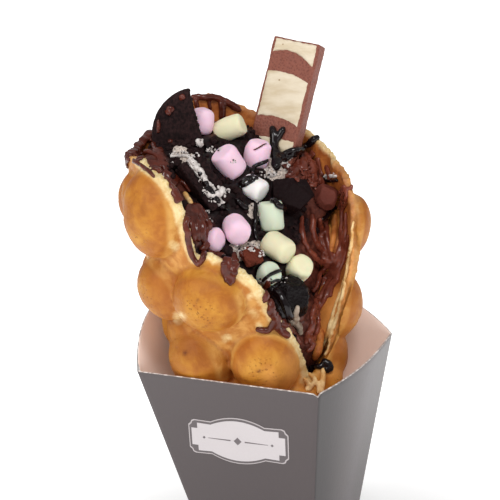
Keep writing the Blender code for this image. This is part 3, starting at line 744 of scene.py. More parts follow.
def wafflePaint():
    paint = Paint("waffle_baked")
    puff, edge = paint.mark("puff"), paint.mark("edge")
    cloud = paint.noise(48.0, 3.0, 0.55)
    patch = paint.noise(150.0, 5.0, 0.6, warp=0.4)
    fine = paint.noise(760.0, 4.0, 0.6)
    pores = paint.cells(640.0)
    patches = patch.between(0.35, 0.65)

    def blend(dark, light, share=patches):
        return paint.mix(share, tone(*dark), tone(*light))

    pitted = puff.between(0.45, 0.9) * cloud.between(0.42, 0.56) * pores.between(0.30, 0.10)
    golden = paint.ramp(patch * 0.55 + cloud * 0.45, [
        (0.34, tone(150, 86, 24)), (0.46, tone(174, 110, 33)), (0.56, tone(186, 125, 40)),
        (0.70, tone(202, 146, 58))])
    halo = blend((190, 128, 54), (208, 156, 82))
    web = blend((180, 114, 46), (206, 150, 78), patch.between(0.38, 0.62))
    colour = paint.mix((puff + (patch - 0.5) * 0.4).between(-0.15, 0.10), web, halo)
    dome = paint.mix((puff + (patch - 0.5) * 0.3).between(0.25, 0.75), blend((160, 92, 27), (178, 111, 36)),
                     golden)
    colour = paint.mix(paint.mark("golden").between(0.0, 0.7) * 0.85, colour, golden)
    colour = paint.mix((puff + (patch - 0.5) * 0.16).between(0.05, 0.18), colour, dome)
    # darker in the creases between bubbles: partly browning, partly painted shade
    colour = paint.mix(paint.mark("hollow").between(0.25, 1.0) * 0.6, colour, tone(150, 80, 30))
    # darker in the listed patches
    colour = paint.mix(paint.mark("darkerPatches") * 0.5, colour, tone(156, 88, 30))
    wall = paint.mix(paint.mark("lipInside") * 0.8, blend((152, 80, 34), (188, 112, 52)),
                     tone(226, 150, 74))
    colour = paint.mix(paint.mark("inner"), colour, wall)
    # painted light on the patches listed as lit
    colour = paint.mix(paint.mark("lit") * 0.7, colour, tone(232, 164, 84))
    pale = blend((214, 176, 112), (232, 208, 156))
    colour = paint.mix((edge + (patch - 0.5) * 0.6).between(0.25, 0.75), colour, pale)
    crumb = blend((214, 184, 122), (234, 216, 170), fine.between(0.35, 0.65))
    frayed = paint.mark("rim") * paint.mark("flap") * (1 - paint.mark("bare") * 0.8)
    colour = paint.mix(frayed, colour, crumb)
    colour = paint.mix(pitted * 0.5, colour, tone(160, 86, 34))
    colour = paint.mix(paint.mark("nick"), colour, tone(104, 50, 22))
    height = fine * 0.45 + patch * 0.35 - pitted
    return paint.finish(Base_Color=colour, Roughness=0.42 + fine * 0.16,
                        Specular_IOR_Level=0.25, Normal=paint.bump(height, 0.5 * mm, 0.9))


def bakedMesh():
    # the sheet and its bubbles in one skin
    ball = bmesh.new()
    bmesh.ops.create_uvsphere(ball, u_segments=36, v_segments=20, radius=1)
    ballSpots, ballFaces = templateOf(ball)
    sheet = bmesh.new()
    sheet.from_mesh(sheetMesh())
    sheetSpots, sheetFaces = templateOf(sheet)
    spots, faces = [sheetSpots], [sheetFaces]
    for index, entry in enumerate(bubbles):
        spots.append(bubbleSpots(ballSpots, *entry))
        faces.append(ballFaces + len(sheetSpots) + index * len(ballSpots))
    return melted(joined("waffle", spots, faces), waffle["voxel"], 0)


def rippled(spots, size, seed, octaves, depth):
    return mottle(spots, size, seed, octaves) * depth


def buildWaffle():
    mesh, spots = bakedMesh()
    height = spots[:, 2] - holder["height"]
    x, y, flat = rollMiddle(height)
    proud = np.hypot(spots[:, 0] - x, (spots[:, 1] - y) / flat) - rollRadius(height)
    puff, reach = domeShare(spots), edgeReach(spots)
    spots = relaxed(mesh, spots, 2)
    place(mesh, spots)
    normals = normalsOf(mesh)
    broad = relaxed(mesh, spots, waffle["creaseRounds"])
    hollow = ((broad - spots) * normals).sum(1) / waffle["creaseDepth"]
    deeper = (spots - broad) * np.clip(hollow, 0, 1)[:, None] * waffle["crease"]
    lip = fade(reach, *waffle["lipFade"])
    dents = sum(rippled(spots, *dent) for dent in waffle["dents"])
    dents += lip * rippled(spots, *waffle["lipCrumbs"])
    spots = pressedIn(spots + normals * dents[:, None] + deeper * (1 - lip)[:, None])
    turn = (np.degrees(np.arctan2(spots[:, 1] - y, spots[:, 0] - x)) + 90) % 360 - 90
    for lean, turns, heights in waffle["leans"]:
        share = window(turn, *turns) * window(height / mm, *heights) * fade(proud, *waffle["leanFade"])
        spots = spots + np.outer(share * lean * mm, sideAxis)
    place(mesh, spots)
    outside = smooth((proud + waffle["skin"]) / mm)
    flap = waffle["flapLeast"] + (1 - waffle["flapLeast"]) * window(turn % 360, *waffle["flap"])
    flap += waffle["backFlapShare"] * window(turn % 360, *waffle["backFlap"])
    lipInside = fade(height, *waffle["lowFade"]) * fade(reach, *waffle["lipInsideFade"])
    zones = {name: zoneShare(spots, zone, 0, 1) for name, zone in waffle["zones"].items()}
    front = normals @ np.array(outAxis) > waffle["facing"]
    edge = fade(reach, *waffle["edgeFade"]) * flap * (1 - zones["bare"])
    edge = np.maximum(edge, zones["paler"] * front * waffle["paler"])
    marks = {
        "rim": fade(reach + rippled(spots, *waffle["wander"]), *waffle["rimFade"]), "flap": flap,
        "inner": 1 - outside, "lipInside": (1 - outside) * lipInside, "hollow": hollow,
        "edge": edge * outside, "puff": puff * outside, "golden": zones["golden"] * outside,
        "bare": zones["bare"], "darkerPatches": zones["darkerPatches"], "lit": zones["lit"],
        "nick": zones["nicks"] * front,
    }
    for name, values in marks.items():
        mark(mesh, name, values)
    print("waffle baked", len(mesh.polygons))
    return addPiece("waffle_roll", mesh, wafflePaint(), "waffle_crust", "waffle")


# Filling: the frame's heap given its rough skin, and coloured by where the photograph shows what
filling = {
    "voxel": 1.25 * mm, "lumps": (5 * mm, 11, 3, 0.9 * mm), "grit": (1.9 * mm, 12, 2, 0.45 * mm),
    "brown": [(318, 165, 34), (330, 210, 26), (318, 262, 30), (312, 320, 26), (172, 192, 16),
              (198, 230, 17), (150, 165, 18), (215, 110, 26), (310, 346, 20), (264, 296, 12)],
    "speckled": [(276, 169, 13), (255, 211, 9), (214, 203, 6), (183, 154, 12), (240, 250, 12),
                 (256, 247, 7)],
    "sunk": [((313, 314, 28), 9), ((318, 282, 18), 7)],   # pixel and reach of a zone, how deep in mm
    "shownFrom": -0.1, "shownSpan": 0.4,
}


def fillingPaint():
    paint = Paint("filling_dark")
    speckled = paint.mark("speckled")
    rough = paint.noise(300.0, 5.0, 0.6)
    fine = paint.noise(1300.0, 3.0, 0.6)
    black = paint.mix(rough.between(0.4, 0.7), tone(18, 8, 9), tone(40, 22, 23))
    chocolate = paint.mix(rough.between(0.35, 0.7), tone(62, 26, 20), tone(104, 56, 44))
    colour = paint.mix(paint.mark("brown"), black, chocolate)
    cream = paint.mix(fine.between(0.35, 0.6), tone(176, 160, 150), tone(222, 208, 196))
    dots = paint.mix(paint.cells(1000.0).between(0.18, 0.30), tone(40, 28, 28), cream)
    colour = paint.mix((speckled + (rough - 0.5) * 1.2).between(0.45, 0.6), colour, dots)
    wet = paint.noise(120.0).between(0.45, 0.6) * (1 - speckled)
    return paint.finish(Base_Color=colour, Roughness=0.42 + rough * 0.3 + speckled * 0.2,
                        Specular_IOR_Level=0.15, Coat_Weight=wet * 0.35, Coat_Roughness=0.1,
                        Normal=paint.bump(rough * 0.6 + fine * 0.3, 0.6 * mm, 0.8))


def buildFilling():
    mesh, spots = melted(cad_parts["filling"].data.copy(), filling["voxel"])
    for zone, depth in filling["sunk"]:
        spots = spots - np.outer(zoneShare(spots, [zone]) * depth * mm, outAxis)
    place(mesh, spots)
    normals = normalsOf(mesh)
    shown = smooth((normals @ np.array(outAxis) - filling["shownFrom"]) / filling["shownSpan"])
    rise = rippled(spots, *filling["lumps"]) + rippled(spots, *filling["grit"])
    spots = spots + normals * (rise * shown)[:, None]
    place(mesh, spots)
    for name in ("brown", "speckled"):
        mark(mesh, name, zoneShare(spots, filling[name]))
    print("filling heaped", len(mesh.polygons))
    return addPiece("filling_heap", mesh, fillingPaint(), "filling_mix", "filling")


# Marshmallows: across, up and out on the face, long axis, width, length, kind, and roundness
sweets = {
    "marshmallow_01": ((-22.9, 61.5, 2.4), (0.1, 1, 0.2), 12, 13, "pink", 0.5),
    "marshmallow_02": ((-9.8, 58.4, -0.5), (1, 0.35, 0.3), 12, 14.5, "yellow", 0.22),
    "marshmallow_03": ((-9.8, 41, 16), (-0.55, 0.75, 0.5), 13.3, 13.5, "pink", 0.2),
    "marshmallow_04": ((3.1, 44.2, 5.0), (0.3, 1, 0.5), 12.5, 17, "pink", 0.4),
    "marshmallow_05": ((-6.1, 9.3, 36.5), (0.35, -0.5, 1), 12.6, 13, "pink", 0.38),
    "marshmallow_06": ((-17, 4.3, 41), (1, 0.1, 0.6), 11.5, 9.5, "pink", 0.34),
    "marshmallow_07": ((2, 29, 17.5), (0.9, -0.5, 0.5), 11.5, 11.5, "white", 0.34),
    "marshmallow_08": ((9.8, 15.7, 22.3), (-0.1, 1, 0.2), 11.5, 13.5, "mint", 0.2),
    "marshmallow_09": ((12.8, 1.3, 29), (0.8, -0.5, 0.6), 13, 14, "yellow", 0.3),
    "marshmallow_10": ((22.4, -8.5, 26.8), (0.4, 0.4, 1), 12, 12, "yellow", 0.38),
    "marshmallow_11": ((8.4, -11.2, 37), (0.5, 0.6, 0.9), 11, 9, "mint", 0.4),
}
sweetLooks = {
    "columns": 44, "rows": 26, "dent": 0.45 * mm, "dentSize": 6 * mm, "shrink": 0.2 * mm,
    "oval": 0.03, "barrel": 0.05, "firstSeed": 20,
    "tones": {"pink": (tone(232, 192, 212), tone(242, 210, 226)),
              "yellow": (tone(216, 210, 172), tone(229, 225, 192)),
              "mint": (tone(196, 206, 182), tone(212, 220, 199)),
              "white": (tone(230, 224, 222), tone(243, 239, 237))},
}


def sweetPaint(kind):
    paint = Paint("marshmallow_" + kind)
    cloud = paint.noise(140.0)
    dust = paint.noise(1600.0, 4.0, 0.7)
    crease = paint.noise(420.0)
    colour = paint.mix(cloud * 0.7 + dust * 0.3, *sweetLooks["tones"][kind])
    colour = paint.mix(dust.between(0.74, 0.8) * 0.5, colour, tone(150, 120, 110))
    return paint.finish(Base_Color=colour, Roughness=0.72 + dust * 0.15, Specular_IOR_Level=0.3,
                        Subsurface_Weight=0.25, Subsurface_Scale=1.5 * mm,
                        Normal=paint.bump(crease * 0.6 + dust * 0.25, 0.16 * mm, 0.7))


def sweetMesh(order, spot, axis, width, length, square):
    bm = bmesh.new()
    bmesh.ops.create_uvsphere(bm, u_segments=sweetLooks["columns"], v_segments=sweetLooks["rows"], radius=1)
    for vert in bm.verts:
        level = math.asin(max(-1, min(1, vert.co.z)))
        turn = math.atan2(vert.co.y, vert.co.x)
        ring = abs(math.cos(level)) ** square * width / 2 * mm
        rise = math.copysign(abs(math.sin(level)) ** (square + 0.1), level) * length / 2 * mm
        belly = (1 + sweetLooks["oval"] * math.cos(2 * turn + order)
                 - sweetLooks["barrel"] * (rise / (length * mm / 2)) ** 2)
        vert.co = (ring * math.cos(turn) * belly, ring * math.sin(turn) * belly, rise)
    bm.transform(Matrix.Translation(facePoint(*spot))
                 @ faceVector(*axis).to_track_quat("Z", "Y").to_matrix().to_4x4())
    bm.normal_update()
    normals = np.array([vert.normal[:] for vert in bm.verts])
    mesh = meshOf(bm)
    spots = spotsOf(mesh)
    dents = mottle(spots, sweetLooks["dentSize"], sweetLooks["firstSeed"] + order, 2) * sweetLooks["dent"]
    place(mesh, spots + normals * (dents - sweetLooks["shrink"])[:, None])
    return mesh


def buildSweets():
    paints = {kind: sweetPaint(kind) for kind in sweetLooks["tones"]}
    made = []
    for order, (name, (spot, axis, width, length, kind, square)) in enumerate(sweets.items()):
        mesh = sweetMesh(order, spot, axis, width, length, square)
        made.append(addPiece("soft_" + name, mesh, paints[kind], "marshmallow_" + kind, name))
    print("marshmallows made", len(made))
    return made


# Cookies: a broken half standing in the mix, and a broken sandwich lying across it
cookies = {
    "radius": 22.6 * mm, "wafer": 4.2 * mm, "cream": 3.4 * mm, "gap": 0.3 * mm, "voxel": 0.6 * mm,
    "standing": ((-23.7, 54, 12), (-0.15, -0.1, 1)), "standingCuts": [(14, 0.7), (-65, 12)],
    "slab": ((-20.6, 30.4, 33), (-0.74, -0.52, 0.42)), "slabCuts": [(90, 2.5), (4, 13), (184, 13)],
    "ridge": 1.7 * mm, "ridgeDepth": 0.3 * mm, "ridgeEdge": 1.6 * mm, "ridgeBend": 1.5,
    "ridgeBends": (9 * mm, 5, 1), "faceFrom": 0.6, "faceSpan": 0.3, "grit": 0.12 * mm,
    "gritSize": 1.8 * mm, "break": 0.9 * mm, "breakReach": 1.4 * mm, "breakLoss": 0.3 * mm,
    "creamInset": 1.4 * mm, "creamPress": 0.2 * mm, "standingMore": 1 * mm,
}


def whippedPaint():
    paint = Paint("cookie_filling")
    grain = paint.noise(620.0, 4.0, 0.65)
    colour = paint.mix(grain.between(0.3, 0.7), tone(178, 168, 164), tone(228, 221, 216))
    colour = paint.mix(paint.cells(520.0).between(0.16, 0.08), colour, tone(52, 40, 42))
    return paint.finish(Base_Color=colour, Roughness=0.68 + grain * 0.15,
                        Normal=paint.bump(grain, 0.5 * mm, 0.9))


def cutDisc(radius, thickness, cuts):
    # a disc with its outer parts cut off by upright planes: direction in degrees, distance in mm
    bm = bmesh.new()
    bmesh.ops.create_cone(bm, cap_ends=True, segments=96, depth=thickness, radius1=radius, radius2=radius)
    planes = []
    for degrees, distance in cuts:
        angle = math.radians(degrees)
        normal = Vector((math.cos(angle), math.sin(angle), 0))
        planes.append((np.array(normal), distance * mm))
        cut = bmesh.ops.bisect_plane(bm, geom=list(bm.verts) + list(bm.edges) + list(bm.faces),
                                     plane_co=normal * distance * mm, plane_no=normal, clear_outer=True)
        ring = [e for e in cut["geom_cut"] if isinstance(e, bmesh.types.BMEdge)]
        bmesh.ops.contextual_create(bm, geom=ring)
    bmesh.ops.recalc_face_normals(bm, faces=bm.faces)
    return meshOf(bm), planes


def discPiece(name, node, radius, thickness, lift, cuts, matrix, material, ridged=False):
    mesh, planes = cutDisc(radius, thickness, cuts)
    mesh, spots = melted(mesh, cookies["voxel"], 1)
    normals = normalsOf(mesh)
    rough = mottle(spots, cookies["gritSize"], len(name), 3)
    broken = np.zeros(len(spots))
    for normal, distance in planes:
        broken = np.maximum(broken, fade(distance - spots @ normal, 0, cookies["breakReach"]))
    push = rough * (cookies["grit"] + broken * cookies["break"]) - broken * cookies["breakLoss"]
    if ridged:
        bend = mottle(spots, *cookies["ridgeBends"]) * cookies["ridgeBend"]
        wave = np.sin(spots[:, 0] / cookies["ridge"] * 2 * math.pi + bend)
        face = smooth((np.abs(normals[:, 2]) - cookies["faceFrom"]) / cookies["faceSpan"])
        inside = smooth((radius - cookies["ridgeEdge"] - np.hypot(spots[:, 0], spots[:, 1])) / mm)
        push += wave * cookies["ridgeDepth"] * face * inside
    spots = spots + normals * push[:, None]
    spots[:, 2] += lift
    place(mesh, spots)
    mesh.transform(matrix)
    return addPiece(name, mesh, material, "cookie_cream" if "cream" in node else "cookie_wafer", node)


def faceMatrix(spot, upward):
    # local Z along the given axis of the face, local Y as near upward as it can be
    centre, axis = facePoint(*spot[0]), faceVector(*spot[1])
    side = upward.cross(axis).normalized()
    return axesMatrix(side, axis.cross(side), axis, centre)


def buildCookies(black, white):
    radius, wafer, cream, cuts = (cookies[key] for key in ("radius", "wafer", "cream", "slabCuts"))
    standing, slab = faceMatrix(cookies["standing"], upAxis), faceMatrix(cookies["slab"], outAxis)
    lift = (wafer + cream) / 2 + cookies["gap"]
    made = [
        discPiece("cookie_half", "cookie_standing", radius, wafer + cookies["standingMore"], 0,
                  cookies["standingCuts"], standing, black, ridged=True),
        discPiece("slab_wafer_front", "cookie_wafer_front", radius, wafer, lift, cuts, slab, black),
        discPiece("slab_filling", "cookie_cream", radius - cookies["creamInset"],
                  cream + cookies["creamPress"], 0, cuts, slab, white),
        discPiece("slab_wafer_back", "cookie_wafer_back", radius, wafer, -lift, cuts, slab, black),
    ]
    print("cookies broken")
    return made


# Broken chunks
chunks = {
    # place, sizes, turns in degrees, broken faces, seed, roughness in mm and slot, then the paint's
    # name, its two tones, its roughness, its specular level and its relief in mm
    "chunk_dark": ((19.3, 25.8, 15), (19, 17, 13), (8, -12, -12), 11, 3, 0.25, "dark_chunk",
                   ("chunk_black", (16, 7, 8), (28, 15, 16), 0.45, 0.07, 0.25)),
    "chunk_glossy": ((17.8, -21.4, 34), (16.5, 18.5, 14), (10, 5, 25), 12, 5, 0.35, "syrup_chunk",
                     ("chunk_syrup", (7, 2, 3), (14, 6, 7), 0.04, 0.13, 1.1)),
    "chunk_brownie": ((0.8, -3.2, 38), (9.5, 8.5, 8), (15, 20, 5), 9, 8, 0.7, "brownie",
                      ("chunk_cake", (74, 30, 22), (122, 62, 46), 0.75, 0.07, 0.8)),
    "chunk_milk": ((36.6, 25.4, 0), (10.5, 11.5, 9.5), (0, -25, 10), 8, 11, 0.15, "milk_chocolate",
                   ("chunk_milk_brown", (94, 46, 38), (112, 60, 50), 0.42, 0.07, 0.15)),
}
chunkShape = {"reach": (0.36, 0.44), "spread": 2.4, "fill": 1.15, "grain": 2.2 * mm, "lump": 6 * mm}


def brokenBall(subdivisions, count, dice):
    # a ball with flat broken faces, 1 across
    bm = bmesh.new()
    bmesh.ops.create_icosphere(bm, subdivisions=subdivisions, radius=0.5)
    planes = []
    for index in range(count):
        turn = index * chunkShape["spread"]
        height = 1 - 2 * (index + 0.5) / count
        flat = math.sqrt(1 - height * height)
        planes.append((Vector((flat * math.cos(turn), flat * math.sin(turn), height)),
                       dice.uniform(*chunkShape["reach"])))
    for vert in bm.verts:
        for normal, reach in planes:
            over = vert.co.dot(normal) - reach
            if over > 0:
                vert.co -= normal * over
    return bm


def buildChunks():
    made = []
    for name, (spot, size, turns, count, seed, rough, slot, paint) in chunks.items():
        bm = brokenBall(6, count, random.Random(seed))
        for vert in bm.verts:
            vert.co = Vector([c * wide for c, wide in zip(vert.co, size)]) * mm * chunkShape["fill"]
        matrix = axesMatrix(acrossAxis, upAxis, outAxis, (0, 0, 0))
        for axis, degrees in zip("XYZ", turns):
            matrix = matrix @ Matrix.Rotation(math.radians(degrees), 4, axis)
        matrix.translation = facePoint(*spot)
        bm.transform(matrix)
        mesh = meshOf(bm)
        spots = spotsOf(mesh)
        depth = rough * mm
        pushOut(mesh, spots, rippled(spots, chunkShape["grain"], seed, 4, depth)
                + rippled(spots, chunkShape["lump"], seed + 1, 2, depth))
        title, dark, light, shine, specular, relief = paint
        material = grainedPaint(title, "chunk", dark, light, shine=(shine, 0.12, specular),
                                relief=(0.6, 0.6, relief * mm, 0.8))
        made.append(addPiece(name.replace("chunk", "broken"), mesh, material, slot, name))
    print("chunks broken", len(made))
    return made


# Striped bar: a cream slab in a thin brown coat with two brown bands
bar = {
    "foot": (6.0, 33, -8), "head": (22.6, 101.5, -3), "width": 25 * mm, "thickness": 9 * mm,
    "turn": 24, "side": 1.3 * mm, "voxel": 0.65 * mm, "stand": 0.75 * mm, "deep": 1.9 * mm,
    "shrink": 0.35 * mm, "waves": (9 * mm, 31, 2, 0.3 * mm), "grit": (1.6 * mm, 32, 2, 0.1 * mm),
    "panelGrid": (56, 48), "edgeWave": 0.35 * mm, "sideWave": 0.2 * mm, "dent": 0.2 * mm,
    "sink": 0.12 * mm,
}
barPanels = [   # from the bar's head, in mm: top edge left and right, arch; lower edge the same
    ("bar_cream_03", (1.0, 1.0, 0.0), (8.0, 12.0, 3.6)),
    ("bar_cream_02", (17.3, 19.3, 1.8), (39.6, 41.4, 1.8)),
    ("bar_cream_01", (49.4, 48.3, 0.5), (66.0, 66.0, 0.0)),
]


def barFrame():
    foot, head = facePoint(*bar["foot"]), facePoint(*bar["head"])
    along = (head - foot).normalized()
    turn = math.radians(bar["turn"])
    face = faceVector(-math.sin(turn), 0, math.cos(turn))
    side = along.cross(face).normalized()
    return axesMatrix(side, along, side.cross(along), foot), (head - foot).length


def barBrownPaint():
    paint = Paint("bar_brown")
    grain = paint.cells(900.0)
    cloud = paint.noise(260.0, 4.0)
    colour = paint.mix(grain.between(0.1, 0.6) * 0.6 + cloud * 0.4, tone(100, 48, 36), tone(134, 75, 58))
    return paint.finish(Base_Color=colour, Roughness=0.5 + cloud * 0.15, Specular_IOR_Level=0.4,
                        Normal=paint.bump(grain * 0.7 + cloud * 0.4, 0.4 * mm, 0.8))


def barCreamPaint():
    paint = Paint("bar_cream")
    smear = paint.noise(110.0, 4.0, 0.55, paint.vector("MULTIPLY", (0.6, 0.6, 2.2)))
    fine = paint.noise(700.0)
    deep = paint.cells(150.0).between(0.085, 0.05)
    colour = paint.mix(smear.between(0.3, 0.7), tone(196, 178, 147), tone(216, 203, 180))
    colour = paint.mix(deep * 0.8, colour, tone(150, 122, 88))
    return paint.finish(Base_Color=colour, Roughness=0.42 + fine * 0.15, Specular_IOR_Level=0.4,
                        Normal=paint.bump(smear * 0.6 + fine * 0.12 - deep * 0.5, 0.35 * mm, 0.7))


def slabMesh(length):
    bm = bmesh.new()
    bmesh.ops.create_cube(bm, size=1)
    shrink = bar["shrink"]
    for vert in bm.verts:
        vert.co = Vector((vert.co.x * (bar["width"] - shrink), (vert.co.y + 0.5) * (length - shrink),
                          (vert.co.z - 0.5) * (bar["thickness"] - shrink)))
    mesh, spots = melted(meshOf(bm), bar["voxel"])
    pushOut(mesh, spots, rippled(spots, *bar["waves"]) + rippled(spots, *bar["grit"]))
    return mesh


def panelEdge(across, edge, seed, length):
    # how far along the bar a panel's edge runs; across goes from -0.5 to 0.5
    left, right, arch = edge
    fall = left + (right - left) * (across + 0.5) - arch * (1 - (2 * across) ** 2)
    return length - fall * mm + noise.noise(Vector((across * 9, seed, 0))) * bar["edgeWave"]


def panelMesh(order, high, low, length):
    bm = bmesh.new()
    columns, rows = bar["panelGrid"]
    bmesh.ops.create_grid(bm, x_segments=columns, y_segments=rows, size=0.5)
    wide = bar["width"] - 2 * bar["side"]
    for vert in bm.verts:
        across, rise = vert.co.x, vert.co.y + 0.5
        top = panelEdge(across, high, order, length)
        under = panelEdge(across, low, order + 5, length)
        crown = 1 - max(abs(across) * 2, abs(rise * 2 - 1)) ** 8
        x = across * wide + noise.noise(Vector((rise * 7, order, 3))) * bar["sideWave"]
        dent = noise.noise(Vector((across * 3, rise * 4, order))) * bar["dent"]
        vert.co = (x, under + (top - under) * rise, (bar["stand"] + dent) * crown - bar["sink"])
    bmesh.ops.recalc_face_normals(bm, faces=bm.faces)
    if sum(face.normal.z for face in bm.faces) < 0:
        bmesh.ops.reverse_faces(bm, faces=bm.faces)
    return modified(meshOf(bm), "SOLIDIFY", thickness=bar["deep"], offset=-1)


def buildBar():
    matrix, length = barFrame()
    meshes = [slabMesh(length)] + [panelMesh(order, high, low, length)
                                   for order, (node, high, low) in enumerate(barPanels)]
    for mesh in meshes:
        mesh.transform(matrix)
    made = [addPiece("bar_slab", meshes[0], barBrownPaint(), "bar_chocolate", "bar_chocolate")]
    cream = barCreamPaint()
    for (node, high, low), mesh in zip(barPanels, meshes[1:]):
        made.append(addPiece("bar_stripe_" + node[-2:], mesh, cream, "bar_cream", node))
    print("bar made")
    return made


# Chocolate spread, syrup and ridges along routes over the food
spreadRoutes = {   # pixels of the photograph, radius in mm, and 1 where a wide one stays one strand
    "cornerOuter": ([(128, 166), (128, 156), (131, 147), (139, 140), (149, 134), (158, 130)], 1.75),
    "cornerLow": ([(130, 160), (138, 155), (147, 153), (157, 157)], 1.4),
    "cornerCross": ([(150, 136), (154, 146), (157, 156)], 1.3),
    "cornerFoot": ([(140, 160), (150, 164), (160, 167)], 1.8),
    "cornerFootLow": ([(149, 164), (157, 170), (165, 177), (173, 183)], 1.7),
    "cornerTip": ([(134, 160), (141, 165), (148, 171), (154, 177)], 1.0, 1),
    "cookieFoot": ([(157, 150), (161, 160), (166, 170)], 1.9),
    "underCookie": ([(164, 172), (172, 180), (182, 185), (188, 189)], 2.0),
    "leftFold": ([(170, 184), (174, 193), (179, 202)], 1.8),
    "foldTop": ([(167, 180), (177, 179), (184, 183), (190, 191)], 1.9),
    "leftMassA": ([(187, 207), (186, 220), (187, 234), (190, 247), (194, 258), (199, 264)], 1.5, 1),
    "leftMassB": ([(190, 205), (190.5, 219), (191.5, 231), (193, 240)], 1.35, 1),
    "leftMassC": ([(193, 205), (195.5, 218), (196.5, 230), (198, 240)], 1.35, 1),
    "leftMassD": ([(196, 206), (200.5, 217), (202, 230), (203, 241)], 1.5, 1),
    "leftMassE": ([(200, 208), (205.5, 219), (207.5, 231), (206.5, 244), (204, 257), (199, 264)], 1.5, 1),
    "leftMassTop": ([(187, 210), (191, 207), (199, 209), (204, 215)], 1.5),
    "tongueLeft": ([(225, 254), (224.5, 257), (224, 260), (224, 264), (224, 270), (225, 276),
                    (226, 281)], 1.6, 1),
    "tongueRight": ([(234, 254), (234, 258), (234, 263), (234, 269), (233.5, 276), (232, 281)], 1.6, 1),
    "tongueMiddle": ([(229, 257), (229, 261), (229, 266), (229, 272), (229, 278), (229.5, 284)], 1.5, 1),
    "tongueTop": ([(208, 252), (218, 256), (230, 256), (243, 254)], 1.5),
    "chunkLeft": ([(269, 281), (267, 286), (265.5, 291), (265, 296), (265, 301)], 1.5),
    "lipStreak": ([(269, 301), (270, 306), (271, 311), (273, 316)], 1.8, 1),
    "footLeft": ([(275, 313), (273, 322), (268, 329), (258, 328.5)], 1.6, 1),
    "footRight": ([(277, 317), (278, 327), (283, 332), (291, 330)], 1.7, 1),
    "footMiddle": ([(280, 316), (284, 324), (290, 328)], 1.4, 1),
    "footTail": ([(291, 330), (295, 337), (299, 344)], 1.1),
    "rimBack": ([(193, 98), (203, 97.5), (214, 97.5), (224, 101), (238, 108)], 1.8, 1),
    "backStripeA": ([(208, 98), (209, 104), (210, 109)], 1.1, 1),
    "backStripeB": ([(221, 100), (222, 108), (222, 118)], 1.9, 1),
    "backStripeC": ([(195, 100), (196, 104), (197, 107)], 1.4, 1),
    "backSmear": ([(228, 103), (233, 108), (240, 110)], 1.2, 1),
    "wallA1": ([(351, 186), (347, 198), (344, 208), (343, 222), (342, 236), (339, 250), (334, 263)], 1.3),
    "wallA2": ([(348, 188), (343, 199), (340, 208)], 1.3),
    "wallA3": ([(345, 186), (339, 194)], 1.2),
    "wallB1": ([(347, 214), (347, 230), (346, 244), (342, 260), (337, 273), (331, 286), (326, 298),
                (320, 309)], 1.4),
    "wallB2": ([(344, 232), (342, 248), (338, 262), (332, 275), (326, 288), (321, 300), (315, 312)], 1.4),
    "wallB3": ([(349, 236), (347, 250), (344, 262), (340, 272), (335, 284), (331, 296)], 1.2),
    "wallB4": ([(338, 262), (330, 272), (322, 284), (317, 296), (313, 308), (311, 322)], 1.4),
    "wallB5": ([(334, 258), (325, 268), (318, 278), (313, 290)], 1.3),
    "wallC1": ([(302, 218), (301, 232), (305, 246), (314, 258), (326, 264)], 1.5, 1),
    "wallC2": ([(312, 216), (311, 230), (314, 242), (322, 254), (330, 262)], 1.7, 1),
    "wallC3": ([(319, 219), (319, 232), (322, 244), (328, 256)], 1.6, 1),
    "wallC4": ([(326, 221), (327, 236), (330, 250), (333, 260)], 1.5, 1),
    "twistA": ([(320, 306), (317, 320), (314, 334), (311, 347)], 1.3),
    "twistB": ([(315, 308), (312, 322), (309, 336), (307, 350)], 1.4),
    "twistC": ([(311, 318), (307, 332), (305, 344)], 1.2),
    "cookieSmearA": ([(181, 95), (183, 99)], 1.5),
    "cookieSmearB": ([(171, 107), (169, 114)], 1.7),
    "cookieSmearC": ([(159, 120), (158.5, 130)], 1.1),
    "cookieSmearD": ([(170, 141), (172, 142)], 1.4),
    "sweetLine": ([(266.5, 144), (260, 147), (254, 150)], 0.55),
    "topRightA": ([(304, 152), (303, 164), (306, 178)], 1.8),
    "topRightB": ([(311, 152), (312, 167), (314, 182)], 1.7),
    "topRightC": ([(318, 158), (320, 172), (321, 183)], 1.7),
    "topRightD": ([(297, 160), (295, 172), (296, 180)], 1.6),
    "topRightE": ([(326, 166), (329, 172), (331, 180)], 1.5),
}
